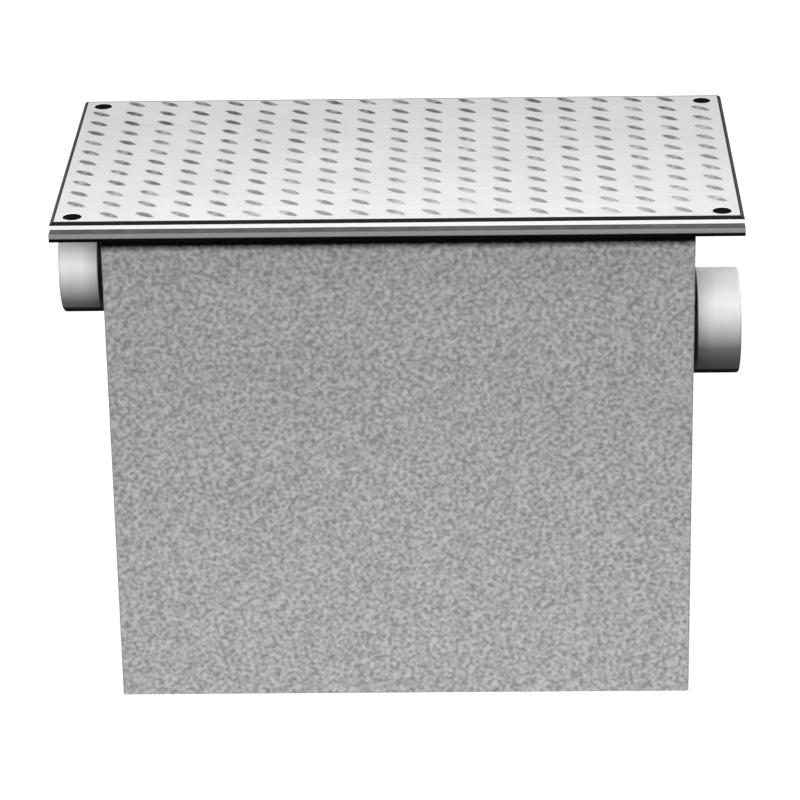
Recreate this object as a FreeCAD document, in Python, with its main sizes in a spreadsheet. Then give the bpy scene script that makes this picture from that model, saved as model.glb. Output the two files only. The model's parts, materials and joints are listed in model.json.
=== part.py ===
"""Oil separator: a welded steel tank under a screwed tread-plate cover.

Millimetres and degrees. The origin is on the floor under the middle of the tank. +X runs from the
inlet to the outlet, +Y to the back and +Z up. Each piece is drawn about a point of its own and then
placed.
"""

import FreeCAD
import Part

import math
import operator
import os

import Sketcher
from FreeCAD import Placement, Rotation, Vector

# Driving dimensions
SIZES = {
    # Tank of flat plates, and the bars of its rim
    "tank_length": 572,
    "tank_depth": 278,
    "tank_height": 516,
    "wall": 4.8,
    "rim_width": 45,
    "rim_thickness": 8,
    # Cover, gasket and cover screws
    "gasket_thickness": 4.8,
    "gasket_setback": 1.5,
    "cover_thickness": 6.4,
    "cover_setback": 1,
    "screw_inset_x": 20.5,
    "screw_inset_y": 18.5,
    "screw_diameter": 9.5,
    "screw_length": 22,
    "screw_tip": 1.2,
    "screw_head_diameter": 18,
    "screw_head_angle": 82,
    "screw_socket": 5.6,
    "screw_socket_depth": 3.6,
    "screw_recess": 0.4,
    "screw_hole_clearance": 0.6,
    "tapped_hole_clearance": 0.3,
    "head_clearance": 0.15,
    # Rolled lugs of the cover
    "lug_length": 19,
    "lug_width": 7,
    "lug_height": 1.6,
    "lug_root": 0.6,
    "lug_angle": 140,
    "lug_columns": 19,
    "lug_rows": 12,
    "lug_column_pitch": 34.2,
    "lug_row_pitch": 30,
    "lug_margin_left": 21,
    "lug_margin_front": 22,
    # Inlet and outlet couplings
    "port_diameter": 107,
    "port_wall": 11.7,
    "port_length": 53.5,
    "port_chamfer": 3,
    "inlet_below_rim": 94,
    "outlet_below_inlet": 73,
    # Vent and draw-off couplings on the back wall
    "pipe_diameter": 60.3,
    "pipe_wall": 3.9,
    "thread_depth": 1.65,
    "service_wall": 6.35,
    "service_length": 43,
    "service_chamfer": 2.5,
    "vent_place": -70,
    "vent_below_rim": 64,
    "draw_off_place": 60,
    "draw_off_below_weir": 139,
    "draw_off_inside": 16,
    "draw_off_engagement": 22,
    "wall_hole_step": 2,
    "thread_clearance": 0.1,
    "shoulder_gap": 0.3,
    # Draw-off elbow, riser, gland and sleeve
    "elbow_level_run": 45,
    "elbow_upright_run": 19,
    "elbow_inner_bend": 5,
    "elbow_body_step": 2.85,
    "elbow_band_step": 11.85,
    "elbow_band_height": 22,
    "elbow_male_length": 30,
    "riser_engagement": 17,
    "gland_step": 7.85,
    "gland_skirt": 15,
    "gland_web": 10,
    "gland_chamfer_angle": 30,
    "packing_thickness": 2,
    "sleeve_play": 1.25,
    "sleeve_wall": 2,
    "sleeve_length": 80,
    "sleeve_clearance": 0.3,
    "sleeve_above_weir": 6,
    "sleeve_above_riser": 35,
    # Sediment bucket, its rails and its bail
    "bucket_length": 120,
    "bucket_width": 212,
    "bucket_height": 155,
    "bucket_sheet": 1.6,
    "bucket_corner": 8,
    "bucket_gap": 10,
    "bucket_lip": 14,
    "bucket_hole": 12,
    "bucket_hole_pitch": 28,
    "bucket_hole_level": 70,
    "rail_leg": 25,
    "rail_sheet": 3,
    "bucket_below_inlet": 30.2,
    "rail_overrun": 3,
    "ear_width": 22,
    "ear_height": 10,
    "bail_wire": 6,
    "bail_reach": 113,
    "bail_corner": 14,
    "bail_hook_bend": 4.5,
    "bail_hook_end": 4.5,
    "bail_hole_clearance": 0.5,
    "bail_side_clearance": 1.8,
    "bail_rest_gap": 0.3,
    # Perforated diffuser baffle and its guides
    "diffuser_gap": 14,
    "diffuser_sheet": 3,
    "diffuser_bottom": 70,
    "diffuser_over_inlet": 58,
    "diffuser_lip": 22,
    "diffuser_hole": 24,
    "diffuser_hole_pitch_y": 42,
    "diffuser_hole_pitch_z": 45,
    "diffuser_hole_level": 150,
    "guide_sheet": 2.5,
    "guide_grip": 14,
    "guide_below_top": 15,
    "guide_clearance": 0.5,
    # Horizontal baffle and its ledges
    "ledge_leg": 20,
    "ledge_sheet": 3,
    "shelf_below_elbow": 14,
    "shelf_sheet": 3,
    "shelf_start_gap": 4,
    "shelf_length": 244,
    "shelf_side_clearance": 0.7,
    "ledge_setback": 6,
    # Deep-seal trap at the outlet, and its cleanout
    "hood_reach": 120,
    "hood_bottom": 70,
    "hood_over_outlet": 27.5,
    "hood_bend": 5,
    "weir_reach": 60,
    "weir_over_invert": 6.8,
    "ferrule_height": 30,
    "plug_depth": 20,
    "plug_crown": 4,
    "plug_head": 30,
    "plug_head_height": 16,
}

# Counts of the punched holes
BUCKET_HOLE_ROWS = 2
BUCKET_HOLE_COLUMNS = 6
DIFFUSER_HOLE_ROWS = 4
DIFFUSER_HOLE_COLUMNS = 5

HOLE_OVERRUN = 1
# Points nearer than this count as the same
SAME_PLACE = 0.01
# A pattern step of this value takes the pattern's own pitch
EVEN_SPACING = -1
OPERATIONS = {"+": operator.add, "-": operator.sub, "*": operator.mul, "/": operator.truediv}

doc = FreeCAD.newDocument("oil_separator")


class Size:
    """A size from the sheet, or worked out from it: its value now and the expression that binds it."""

    def __init__(self, value, text):
        self.value = value
        self.text = text

    def __add__(self, other):
        return combine(self, "+", other)

    def __radd__(self, other):
        return combine(other, "+", self)

    def __sub__(self, other):
        return combine(self, "-", other)

    def __rsub__(self, other):
        return combine(other, "-", self)

    def __mul__(self, other):
        return combine(self, "*", other)

    def __rmul__(self, other):
        return combine(other, "*", self)

    def __truediv__(self, other):
        return combine(self, "/", other)

    def __neg__(self):
        return combine(0, "-", self)


def as_size(number):
    """A plain number as a Size; a Size stays as it is."""
    if isinstance(number, Size):
        return number
    return Size(number, f"({number})")


def combine(left, sign, right):
    """The sum, difference, product or quotient of two sizes, as a value and as an expression."""
    left = as_size(left)
    right = as_size(right)
    return Size(OPERATIONS[sign](left.value, right.value), f"({left.text} {sign} {right.text})")


def make_sheet():
    """Write the driving dimensions into the sheet and give each cell its name."""
    sheet = doc.addObject("Spreadsheet::Sheet", "Sizes")
    for row, (name, value) in enumerate(SIZES.items(), 1):
        sheet.set(f"A{row}", str(value))
        sheet.setAlias(f"A{row}", name)
    doc.recompute()
    return {name: Size(value, f"Sizes.{name}") for name, value in SIZES.items()}


S = make_sheet()


def bind(target, path, size):
    """Tie a property of an object to the sheet."""
    target.setExpression(path, as_size(size).text)


def new_body(label):
    body = doc.addObject("PartDesign::Body", label)
    body.Label = label
    return body


def place(piece, x=0, y=0, z=0, rotation=None):
    """Turn a piece about its own origin and put that origin at x, y, z."""
    piece.Placement = Placement(Vector(), rotation or Rotation())
    for path, size in (("Placement.Base.x", x), ("Placement.Base.y", y), ("Placement.Base.z", z)):
        bind(piece, path, size)
    return piece


def origin_feature(body, role):
    return next(feature for feature in body.Origin.OriginFeatures if feature.Role == role)


def add_sketch(body, name, plane, height=0):
    """A sketch on one of the body's own planes, lifted along that plane's normal."""
    sketch = body.newObject("Sketcher::SketchObject", name)
    sketch.AttachmentSupport = (origin_feature(body, plane), "")
    sketch.MapMode = "FlatFace"
    bind(sketch, "AttachmentOffset.Base.z", height)
    return sketch


def constrain(sketch, kind, *references, size=None):
    """Add one constraint; with a size, it is a dimension tied to the sheet."""
    if size is None:
        sketch.addConstraint(Sketcher.Constraint(kind, *references))
        return
    size = as_size(size)
    index = sketch.addConstraint(Sketcher.Constraint(kind, *references, size.value))
    bind(sketch, f"Constraints[{index}]", size)


def pin_point(sketch, geometry, end, x, y):
    """Dimension one point of the sketch from its origin, or put it on an axis."""
    for kind, axis, size in (("DistanceX", -2, x), ("DistanceY", -1, y)):
        if isinstance(size, Size):
            constrain(sketch, kind, -1, 1, geometry, end, size=size)
        else:
            constrain(sketch, "PointOnObject", geometry, end, axis)


def flat(x, y):
    """A point of a sketch from two sizes."""
    return Vector(as_size(x).value, as_size(y).value, 0)


def add_polygon(sketch, points):
    """A closed outline of straight edges through points of two sizes each."""
    lines = []
    for start, end in zip(points, points[1:] + points[:1]):
        lines.append(sketch.addGeometry(Part.LineSegment(flat(*start), flat(*end)), False))
    for line, following in zip(lines, lines[1:] + lines[:1]):
        constrain(sketch, "Coincident", line, 2, following, 1)
    for line, point in zip(lines, points):
        pin_point(sketch, line, 1, *point)


def add_rectangle(sketch, width, height, x=0, y=0):
    """A rectangle of the given size about the point x, y."""
    left, right = x - width / 2, x + width / 2
    low, high = y - height / 2, y + height / 2
    add_polygon(sketch, [(left, low), (right, low), (right, high), (left, high)])


def add_circle(sketch, diameter, x=0, y=0):
    circle = sketch.addGeometry(Part.Circle(flat(x, y), Vector(0, 0, 1), as_size(diameter).value / 2), False)
    constrain(sketch, "Diameter", circle, size=diameter)
    pin_point(sketch, circle, 3, x, y)


def add_bent_path(sketch, runs, bends):
    """Straight runs joined by arcs.

    A run is its two end points. A bend is its centre, its radius, its first and last angle in half
    turns, and whether the path goes round it clockwise.
    """
    lines = []
    for start, end in runs:
        line = sketch.addGeometry(Part.LineSegment(flat(*start), flat(*end)), False)
        pin_point(sketch, line, 1, *start)
        pin_point(sketch, line, 2, *end)
        lines.append(line)
    for (x, y, radius, first, last, clockwise), before, after in zip(bends, lines, lines[1:]):
        circle = Part.Circle(flat(x, y), Vector(0, 0, 1), radius.value)
        arc = sketch.addGeometry(Part.ArcOfCircle(circle, first * math.pi, last * math.pi), False)
        constrain(sketch, "Coincident", before, 2, arc, 2 if clockwise else 1)
        constrain(sketch, "Coincident", after, 1, arc, 1 if clockwise else 2)
        constrain(sketch, "Radius", arc, size=radius)


def add_hexagon(sketch, across_flats):
    """A hexagon about the sketch's origin with two flats along its first axis."""
    half = across_flats / 2
    corner = across_flats / math.sqrt(3)
    add_polygon(sketch, [
        (corner, 0), (corner / 2, half), (-corner / 2, half),
        (-corner, 0), (-corner / 2, -half), (corner / 2, -half),
    ])


def add_pad(body, sketch, length, symmetric=False, flipped=False):
    pad = body.newObject("PartDesign::Pad", f"{sketch.Name}Pad")
    pad.Profile = sketch
    pad.SideType = "Symmetric" if symmetric else "One side"
    pad.Reversed = flipped
    bind(pad, "Length", length)
    return pad


def add_pocket(body, sketch, depth=None, flipped=False):
    """Cut a sketch to a depth, or right through the piece both ways where no depth is given."""
    pocket = body.newObject("PartDesign::Pocket", f"{sketch.Name}Pocket")
    pocket.Profile = sketch
    pocket.Reversed = flipped
    if depth is None:
        pocket.Type = "ThroughAll"
        pocket.SideType = "Symmetric"
    else:
        bind(pocket, "Length", depth)
    return pocket


def add_turned(body, name, points, kind="Revolution"):
    """Turn an outline of radius and height points about the body's Z axis; a Groove is cut away."""
    sketch = add_sketch(body, name, "XZ_Plane")
    add_polygon(sketch, points)
    turned = body.newObject(f"PartDesign::{kind}", f"{name}Turned")
    turned.Profile = sketch
    turned.ReferenceAxis = (sketch, ["V_Axis"])
    turned.Angle = 360
    return turned


def add_grid(body, feature, first, second, axes=("X_Axis", "Y_Axis")):
    """Repeat a feature in rows and columns; first and second are a count and a pitch each."""
    grid = body.newObject("PartDesign::LinearPattern", f"{feature.Name}Grid")
    grid.Originals = [feature]
    grid.Direction = (origin_feature(body, axes[0]), [""])
    grid.Direction2 = (origin_feature(body, axes[1]), [""])
    grid.Mode = "Spacing"
    grid.Mode2 = "Spacing"
    grid.Refine = False
    for suffix, (count, pitch) in (("", first), ("2", second)):
        number = int(as_size(count).value)
        setattr(grid, f"Occurrences{suffix}", number)
        setattr(grid, f"Spacings{suffix}", [EVEN_SPACING] * (number - 1))
        bind(grid, f"Occurrences{suffix}", count)
        bind(grid, f"Offset{suffix}", pitch)
    body.Tip = grid
    return grid


def add_fillet(body, feature, radius, wanted):
    """Round the edges of a feature that the test picks out."""
    doc.recompute()
    names = [f"Edge{n}" for n, edge in enumerate(feature.Shape.Edges, 1) if wanted(edge)]
    fillet = body.newObject("PartDesign::Fillet", f"{feature.Name}Fillet")
    fillet.Base = (feature, names)
    bind(fillet, "Radius", radius)
    return fillet


def add_shell(body, feature, thickness):
    """Hollow a feature out to a wall of the given thickness, open at its highest face."""
    doc.recompute()
    faces = feature.Shape.Faces
    top = max(range(len(faces)), key=lambda index: faces[index].CenterOfMass.z)
    shell = body.newObject("PartDesign::Thickness", f"{feature.Name}Shell")
    shell.Base = (feature, [f"Face{top + 1}"])
    shell.Reversed = True
    bind(shell, "Value", thickness)
    return shell


def new_plate(label, plane, width, height, thickness):
    """A flat rectangular plate about its own middle."""
    body = new_body(label)
    sketch = add_sketch(body, f"{label}_outline", plane)
    add_rectangle(sketch, width, height)
    add_pad(body, sketch, thickness, symmetric=True)
    return body


def cut_holes(body, plane, holes):
    """Round holes right through a plate, each a diameter and a place."""
    sketch = add_sketch(body, f"{body.Name}_holes", plane)
    for diameter, x, y in holes:
        add_circle(sketch, diameter, x, y)
    return add_pocket(body, sketch)


# Places that several pieces share
half_length = S["tank_length"] / 2
half_depth = S["tank_depth"] / 2
inner_half_length = half_length - S["wall"]
inner_half_depth = half_depth - S["wall"]
rim_length = S["tank_length"] + 2 * S["rim_width"]
rim_depth = S["tank_depth"] + 2 * S["rim_width"]
cover_length = rim_length - 2 * S["cover_setback"]
cover_depth = rim_depth - 2 * S["cover_setback"]
cover_bottom = S["tank_height"] + S["gasket_thickness"]
screw_x = cover_length / 2 - S["screw_inset_x"]
screw_y = cover_depth / 2 - S["screw_inset_y"]
inlet_height = S["tank_height"] - S["inlet_below_rim"]
outlet_height = inlet_height - S["outlet_below_inlet"]
vent_height = S["tank_height"] - S["vent_below_rim"]
port_bore = S["port_diameter"] - 2 * S["port_wall"]
wall_hole = port_bore + 2 * S["wall_hole_step"]
pipe_bore = S["pipe_diameter"] - 2 * S["pipe_wall"]
pipe_socket = S["pipe_diameter"] + 2 * S["thread_clearance"]
service_diameter = S["pipe_diameter"] + 2 * S["service_wall"]
service_bore = S["pipe_diameter"] - 2 * S["thread_depth"]
service_hole = service_bore + 2 * S["wall_hole_step"]
draw_off_hole = service_diameter + 2 * S["thread_clearance"]
weir_top = outlet_height - port_bore / 2 + S["weir_over_invert"]
draw_off_height = weir_top - S["draw_off_below_weir"]
elbow_body = S["pipe_diameter"] + 2 * S["elbow_body_step"]
elbow_band = S["pipe_diameter"] + 2 * S["elbow_band_step"]
elbow_bend = elbow_body / 2 + S["elbow_inner_bend"]
elbow_reach = elbow_bend + S["elbow_level_run"]
elbow_rise = elbow_bend + S["elbow_upright_run"]
elbow_y = inner_half_depth - S["draw_off_inside"] + S["draw_off_engagement"] - elbow_reach
sleeve_diameter = pipe_bore - 2 * S["sleeve_play"]
sleeve_top = weir_top + S["sleeve_above_weir"]
riser_bottom = draw_off_height + elbow_rise - S["riser_engagement"]
riser_top = sleeve_top - S["sleeve_above_riser"]
gland_web_bottom = riser_top + S["packing_thickness"]
gland_bore = sleeve_diameter + 2 * S["sleeve_clearance"]
bucket_start = -inner_half_length + S["bucket_gap"]
bucket_middle = bucket_start + S["bucket_length"] / 2
rail_top = inlet_height - port_bore / 2 - S["bucket_below_inlet"]
bucket_rim = rail_top + S["bucket_sheet"]
bail_height = bucket_rim + S["bail_wire"] / 2 + S["bail_rest_gap"]
diffuser_x = bucket_start + S["bucket_length"] + S["diffuser_gap"] + S["diffuser_sheet"] / 2
diffuser_top = inlet_height + S["diffuser_over_inlet"]
guide_width = S["diffuser_sheet"] + 2 * S["guide_clearance"] + 2 * S["guide_sheet"]
guide_top = diffuser_top - S["guide_below_top"]
shelf_start = diffuser_x + guide_width / 2 + S["shelf_start_gap"]
ledge_top = draw_off_height - elbow_body / 2 - S["shelf_below_elbow"] - S["shelf_sheet"]
hood_start = inner_half_length - S["hood_reach"]
hood_top = outlet_height + S["port_diameter"] / 2 + S["hood_over_outlet"]
cleanout_x = inner_half_length - S["hood_reach"] / 2
FOUR_CORNERS = [(sx, sy) for sx in (-1, 1) for sy in (-1, 1)]

OUTLET_WAY = Rotation(Vector(0, 0, 1), Vector(1, 0, 0))
INLET_WAY = Rotation(Vector(0, 0, 1), Vector(-1, 0, 0))
BACK_WAY = Rotation(Vector(0, 0, 1), Vector(0, 1, 0))


def tank_plates():
    """Front and back walls of the full length, end plates between them, floor between all four."""
    middle = S["tank_height"] / 2
    front = new_plate("front_wall", "XZ_Plane", S["tank_length"], S["tank_height"], S["wall"])
    back = new_plate("back_wall", "XZ_Plane", S["tank_length"], S["tank_height"], S["wall"])
    cut_holes(back, "XZ_Plane", [
        (service_hole, S["vent_place"], vent_height - middle),
        (draw_off_hole, S["draw_off_place"], draw_off_height - middle),
    ])
    place(front, y=-half_depth + S["wall"] / 2, z=middle)
    place(back, y=half_depth - S["wall"] / 2, z=middle)
    pieces = [front, back]
    for name, side, level in (("inlet", -1, inlet_height), ("outlet", 1, outlet_height)):
        plate = new_plate(f"{name}_end_plate", "YZ_Plane", 2 * inner_half_depth, S["tank_height"], S["wall"])
        cut_holes(plate, "YZ_Plane", [(wall_hole, 0, level - middle)])
        pieces.append(place(plate, x=side * (half_length - S["wall"] / 2), z=middle))
    floor = new_plate("floor_plate", "XY_Plane", 2 * inner_half_length, 2 * inner_half_depth, S["wall"])
    pieces.append(place(floor, z=S["wall"] / 2))
    return pieces


def rim_bars():
    """Flat bars round the top of the tank, the front and back ones tapped for the cover screws."""
    level = S["tank_height"] - S["rim_thickness"] / 2
    offset_x = half_length + S["rim_width"] / 2
    offset_y = half_depth + S["rim_width"] / 2
    tapped = S["screw_diameter"] + 2 * S["tapped_hole_clearance"]
    pieces = []
    for name, side in (("front", -1), ("back", 1)):
        bar = new_plate(f"{name}_rim_bar", "XY_Plane", rim_length, S["rim_width"], S["rim_thickness"])
        screw_line = side * (screw_y - offset_y)
        cut_holes(bar, "XY_Plane", [(tapped, -screw_x, screw_line), (tapped, screw_x, screw_line)])
        pieces.append(place(bar, y=side * offset_y, z=level))
    for name, side in (("inlet", -1), ("outlet", 1)):
        bar = new_plate(f"{name}_rim_bar", "XY_Plane", S["rim_width"], S["tank_depth"], S["rim_thickness"])
        pieces.append(place(bar, x=side * offset_x, z=level))
    return pieces


def screw_places():
    return [(side_x * screw_x, side_y * screw_y) for side_x, side_y in FOUR_CORNERS]


def cover_gasket():
    """Flat ring that covers the rim and the tops of the walls, punched for the screws."""
    outer_length = cover_length - 2 * S["gasket_setback"]
    outer_depth = cover_depth - 2 * S["gasket_setback"]
    body = new_plate("cover_gasket", "XY_Plane", outer_length, outer_depth, S["gasket_thickness"])
    mouth = add_sketch(body, "gasket_mouth", "XY_Plane")
    add_rectangle(mouth, 2 * inner_half_length, 2 * inner_half_depth)
    add_pocket(body, mouth)
    hole = S["screw_diameter"] + 2 * S["screw_hole_clearance"]
    cut_holes(body, "XY_Plane", [(hole, x, y) for x, y in screw_places()])
    return place(body, z=S["tank_height"] + S["gasket_thickness"] / 2)


def add_lug(body, name, column, row):
    """One rolled lug at a place of the lattice: half a slim spindle whose axis is sunk in the plate."""
    length, width, height = S["lug_length"], S["lug_width"], S["lug_height"]
    round_radius = (width * width / 4 + height * height) / (2 * height)
    crown_radius = (length * length / 4 + height * height) / (2 * height)
    axis_depth = round_radius - height
    sketch = body.newObject("Sketcher::SketchObject", f"{name}_profile")
    sketch.AttachmentSupport = (origin_feature(body, "XZ_Plane"), "")
    sketch.MapMode = "FlatFace"
    sketch.AttachmentOffset = Placement(Vector(), Rotation(Vector(0, 1, 0), S["lug_angle"].value))
    bind(sketch, "AttachmentOffset.Rotation.Angle", S["lug_angle"])
    from_left = S["lug_margin_left"] + column * S["lug_column_pitch"]
    from_front = S["lug_margin_front"] + row * S["lug_row_pitch"]
    bind(sketch, "AttachmentOffset.Base.x", from_left - cover_length / 2)
    bind(sketch, "AttachmentOffset.Base.y", S["cover_thickness"] - axis_depth)
    bind(sketch, "AttachmentOffset.Base.z", cover_depth / 2 - from_front)
    end_height = axis_depth - S["lug_root"]
    centre_height = round_radius - crown_radius
    rise = end_height.value - centre_height.value
    half = math.sqrt(crown_radius.value ** 2 - rise ** 2)
    corners = [(-half, end_height), (-half, 0), (half, 0), (half, end_height)]
    sides = [
        sketch.addGeometry(Part.LineSegment(flat(*start), flat(*end)), False)
        for start, end in zip(corners, corners[1:])
    ]
    circle = Part.Circle(flat(0, centre_height), Vector(0, 0, 1), crown_radius.value)
    start_angle = math.atan2(rise, half)
    crown = sketch.addGeometry(Part.ArcOfCircle(circle, start_angle, math.pi - start_angle), False)
    constrain(sketch, "Coincident", sides[0], 2, sides[1], 1)
    constrain(sketch, "Coincident", sides[1], 2, sides[2], 1)
    constrain(sketch, "Coincident", sides[2], 2, crown, 1)
    constrain(sketch, "Coincident", sides[0], 1, crown, 2)
    constrain(sketch, "Vertical", sides[0])
    constrain(sketch, "Vertical", sides[2])
    constrain(sketch, "PointOnObject", sides[1], 1, -1)
    constrain(sketch, "PointOnObject", sides[1], 2, -1)
    constrain(sketch, "DistanceY", -1, 1, sides[0], 1, size=end_height)
    constrain(sketch, "DistanceY", -1, 1, sides[2], 2, size=end_height)
    constrain(sketch, "Radius", crown, size=crown_radius)
    pin_point(sketch, crown, 3, 0, centre_height)
    lug = body.newObject("PartDesign::Revolution", name)
    lug.Profile = sketch
    lug.ReferenceAxis = (sketch, ["H_Axis"])
    lug.Midplane = True
    lug.Angle = 180
    lug.Refine = False
    return lug


def cover_plate():
    """Tread plate: lugs on a lattice whose corner places are left to the countersunk screw holes."""
    body = new_body("cover_plate")
    outline = add_sketch(body, "cover_outline", "XY_Plane")
    add_rectangle(outline, cover_length, cover_depth)
    add_pad(body, outline, S["cover_thickness"])
    columns, rows = S["lug_columns"], S["lug_rows"]
    column_pitch, row_pitch = S["lug_column_pitch"], S["lug_row_pitch"]
    inner_lug = add_lug(body, "inner_lug", 0, 1)
    add_grid(body, inner_lug, (columns, column_pitch), (rows - 2, row_pitch))
    edge_lug = add_lug(body, "edge_lug", 1, 0)
    add_grid(body, edge_lug, (columns - 2, column_pitch), (2, (rows - 1) * row_pitch))
    centres = add_sketch(body, "screw_holes", "XY_Plane", S["cover_thickness"])
    shank_hole = S["screw_diameter"] + 2 * S["screw_hole_clearance"]
    for x, y in screw_places():
        add_circle(centres, shank_hole, x, y)
    doc.recompute()
    holes = body.newObject("PartDesign::Hole", "countersinks")
    holes.Profile = centres
    holes.DepthType = "ThroughAll"
    bind(holes, "Diameter", shank_hole)
    holes.HoleCutType = "Countersink"
    holes.HoleCutCustomValues = True
    slope = math.tan(math.radians(S["screw_head_angle"].value / 2))
    seat = S["screw_head_diameter"] + 2 * S["head_clearance"] + 2 * slope * S["screw_recess"]
    bind(holes, "HoleCutDiameter", seat)
    bind(holes, "HoleCutCountersinkAngle", S["screw_head_angle"])
    return place(body, z=cover_bottom)


def cover_screws():
    """Four flat-head socket screws, one drawn and the others mirrored from it."""
    slope = math.tan(math.radians(S["screw_head_angle"].value / 2))
    head_radius = S["screw_head_diameter"] / 2
    shank_radius = S["screw_diameter"] / 2
    head_height = (head_radius - shank_radius) / slope
    tip = S["screw_tip"]
    screw = new_body("cover_screw")
    add_turned(screw, "screw_profile", [
        (0, -S["screw_length"]), (shank_radius - tip, -S["screw_length"]),
        (shank_radius, tip - S["screw_length"]), (shank_radius, -head_height), (head_radius, 0), (0, 0),
    ])
    socket = add_sketch(screw, "screw_socket", "XY_Plane")
    add_hexagon(socket, S["screw_socket"])
    add_pocket(screw, socket, S["screw_socket_depth"])
    level = cover_bottom + S["cover_thickness"] - S["screw_recess"]
    place(screw, -screw_x, -screw_y, level)
    screws = [screw]
    for normals in ([Vector(1, 0, 0)], [Vector(0, 1, 0)], [Vector(1, 0, 0), Vector(0, 1, 0)]):
        source = screw
        for normal in normals:
            mirror = doc.addObject("Part::Mirroring", "mirrored_screw")
            mirror.Source = source
            mirror.Normal = normal
            source = mirror
        screws.append(source)
    group = doc.addObject("Part::Compound", "cover_screws")
    group.Label = "cover_screws"
    group.Links = screws
    return group


def new_coupling(label, diameter, bore, length, chamfer):
    """A half coupling that stands on the wall, with its thread's entry bevelled."""
    body = new_body(label)
    outer = diameter / 2
    inner = bore / 2
    add_turned(body, f"{label}_profile", [
        (inner, 0), (outer, 0), (outer, length - chamfer), (outer - chamfer, length),
        (inner + chamfer, length), (inner, length - chamfer),
    ])
    return body


def port_couplings():
    """Inlet and outlet couplings on the end plates, vent coupling on the back wall."""
    port = (S["port_diameter"], port_bore, S["port_length"], S["port_chamfer"])
    service = (service_diameter, service_bore, S["service_length"], S["service_chamfer"])
    inlet = new_coupling("inlet_coupling", *port)
    outlet = new_coupling("outlet_coupling", *port)
    vent = new_coupling("vent_coupling", *service)
    return [
        place(inlet, x=-half_length, z=inlet_height, rotation=INLET_WAY),
        place(outlet, x=half_length, z=outlet_height, rotation=OUTLET_WAY),
        place(vent, S["vent_place"], half_depth, vent_height, BACK_WAY),
    ]


def draw_off_coupling():
    """Coupling through the back wall: pipe thread outside, socket for the elbow inside."""
    body = new_body("draw_off_coupling")
    outer = service_diameter / 2
    inner = service_bore / 2
    socket = pipe_socket / 2
    inside_end = -S["wall"] - S["draw_off_inside"]
    socket_end = inside_end + S["draw_off_engagement"] + S["shoulder_gap"]
    length, chamfer = S["service_length"], S["service_chamfer"]
    add_turned(body, "draw_off_profile", [
        (socket, inside_end), (outer, inside_end), (outer, length - chamfer), (outer - chamfer, length),
        (inner + chamfer, length), (inner, length - chamfer), (inner, socket_end), (socket, socket_end),
    ])
    return place(body, S["draw_off_place"], half_depth, draw_off_height, BACK_WAY)


def add_elbow_path(body):
    """Centre line of the elbow: from its male end forward, round the bend and up."""
    reach, rise, bend = elbow_reach, elbow_rise, elbow_bend
    sketch = add_sketch(body, "elbow_path", "YZ_Plane")
    runs = [((reach, 0), (bend, 0)), ((0, bend), (0, rise))]
    add_bent_path(sketch, runs, [(bend, bend, bend, 1, 1.5, True)])
    return sketch


def add_swept(body, kind, name, diameter, path, start):
    """Sweep a circle along a path that starts square to the XZ plane at the given distance."""
    section = add_sketch(body, name, "XZ_Plane", -start)
    add_circle(section, diameter)
    swept = body.newObject(f"PartDesign::{kind}", f"{name}Swept")
    swept.Profile = section
    swept.Spine = path
    return swept


def draw_off_elbow():
    """Street elbow: male end into the coupling, banded female end upward."""
    body = new_body("draw_off_elbow")
    path = add_elbow_path(body)
    male_start = elbow_reach - S["elbow_male_length"]
    add_swept(body, "AdditivePipe", "elbow_outside", elbow_body, path, elbow_reach)
    band = add_sketch(body, "elbow_band", "XY_Plane", elbow_rise)
    add_circle(band, elbow_band)
    add_pad(body, band, S["elbow_band_height"], flipped=True)
    add_swept(body, "SubtractivePipe", "elbow_inside", pipe_bore, path, elbow_reach)
    shoulder = add_sketch(body, "male_end", "XZ_Plane", -male_start)
    add_circle(shoulder, S["pipe_diameter"])
    add_circle(shoulder, elbow_band)
    add_pocket(body, shoulder, S["elbow_male_length"])
    socket = add_sketch(body, "riser_socket", "XY_Plane", elbow_rise)
    add_circle(socket, pipe_socket)
    add_pocket(body, socket, S["riser_engagement"] + S["shoulder_gap"])
    return place(body, S["draw_off_place"], elbow_y, draw_off_height)


def draw_off_riser():
    body = new_body("draw_off_riser")
    inner, outer = pipe_bore / 2, S["pipe_diameter"] / 2
    length = riser_top - riser_bottom
    add_turned(body, "riser_profile", [(inner, 0), (outer, 0), (outer, length), (inner, length)])
    return place(body, S["draw_off_place"], elbow_y, riser_bottom)


def draw_off_gland_nut():
    """Hexagon nut on the riser, its corners turned off at the top, that squeezes the packing on the sleeve."""
    body = new_body("draw_off_gland_nut")
    skirt_bottom = -S["gland_skirt"] - S["packing_thickness"]
    top = S["gland_web"]
    across_flats = S["pipe_diameter"] + 2 * S["gland_step"]
    hexagon = add_sketch(body, "gland_hexagon", "XY_Plane", skirt_bottom)
    add_hexagon(hexagon, across_flats)
    add_pad(body, hexagon, top - skirt_bottom)
    slope = math.tan(math.radians(S["gland_chamfer_angle"].value))
    flat_radius = across_flats / 2
    outside = across_flats / math.sqrt(3) + HOLE_OVERRUN
    add_turned(body, "gland_chamfer", [
        (flat_radius, top), (outside, top), (outside, top - slope * (outside - flat_radius)),
    ], "Groove")
    thread = add_sketch(body, "gland_thread", "XY_Plane", 0)
    add_circle(thread, pipe_socket)
    add_pocket(body, thread, -skirt_bottom)
    throat = add_sketch(body, "gland_throat", "XY_Plane", 0)
    add_circle(throat, gland_bore)
    add_pocket(body, throat)
    return place(body, S["draw_off_place"], elbow_y, gland_web_bottom)


def draw_off_packing():
    body = new_body("draw_off_packing")
    inner = gland_bore / 2
    outer = S["pipe_diameter"] / 2
    thickness = S["packing_thickness"]
    add_turned(body, "packing_profile", [(inner, 0), (outer, 0), (outer, thickness), (inner, thickness)])
    return place(body, S["draw_off_place"], elbow_y, riser_top)


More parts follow.
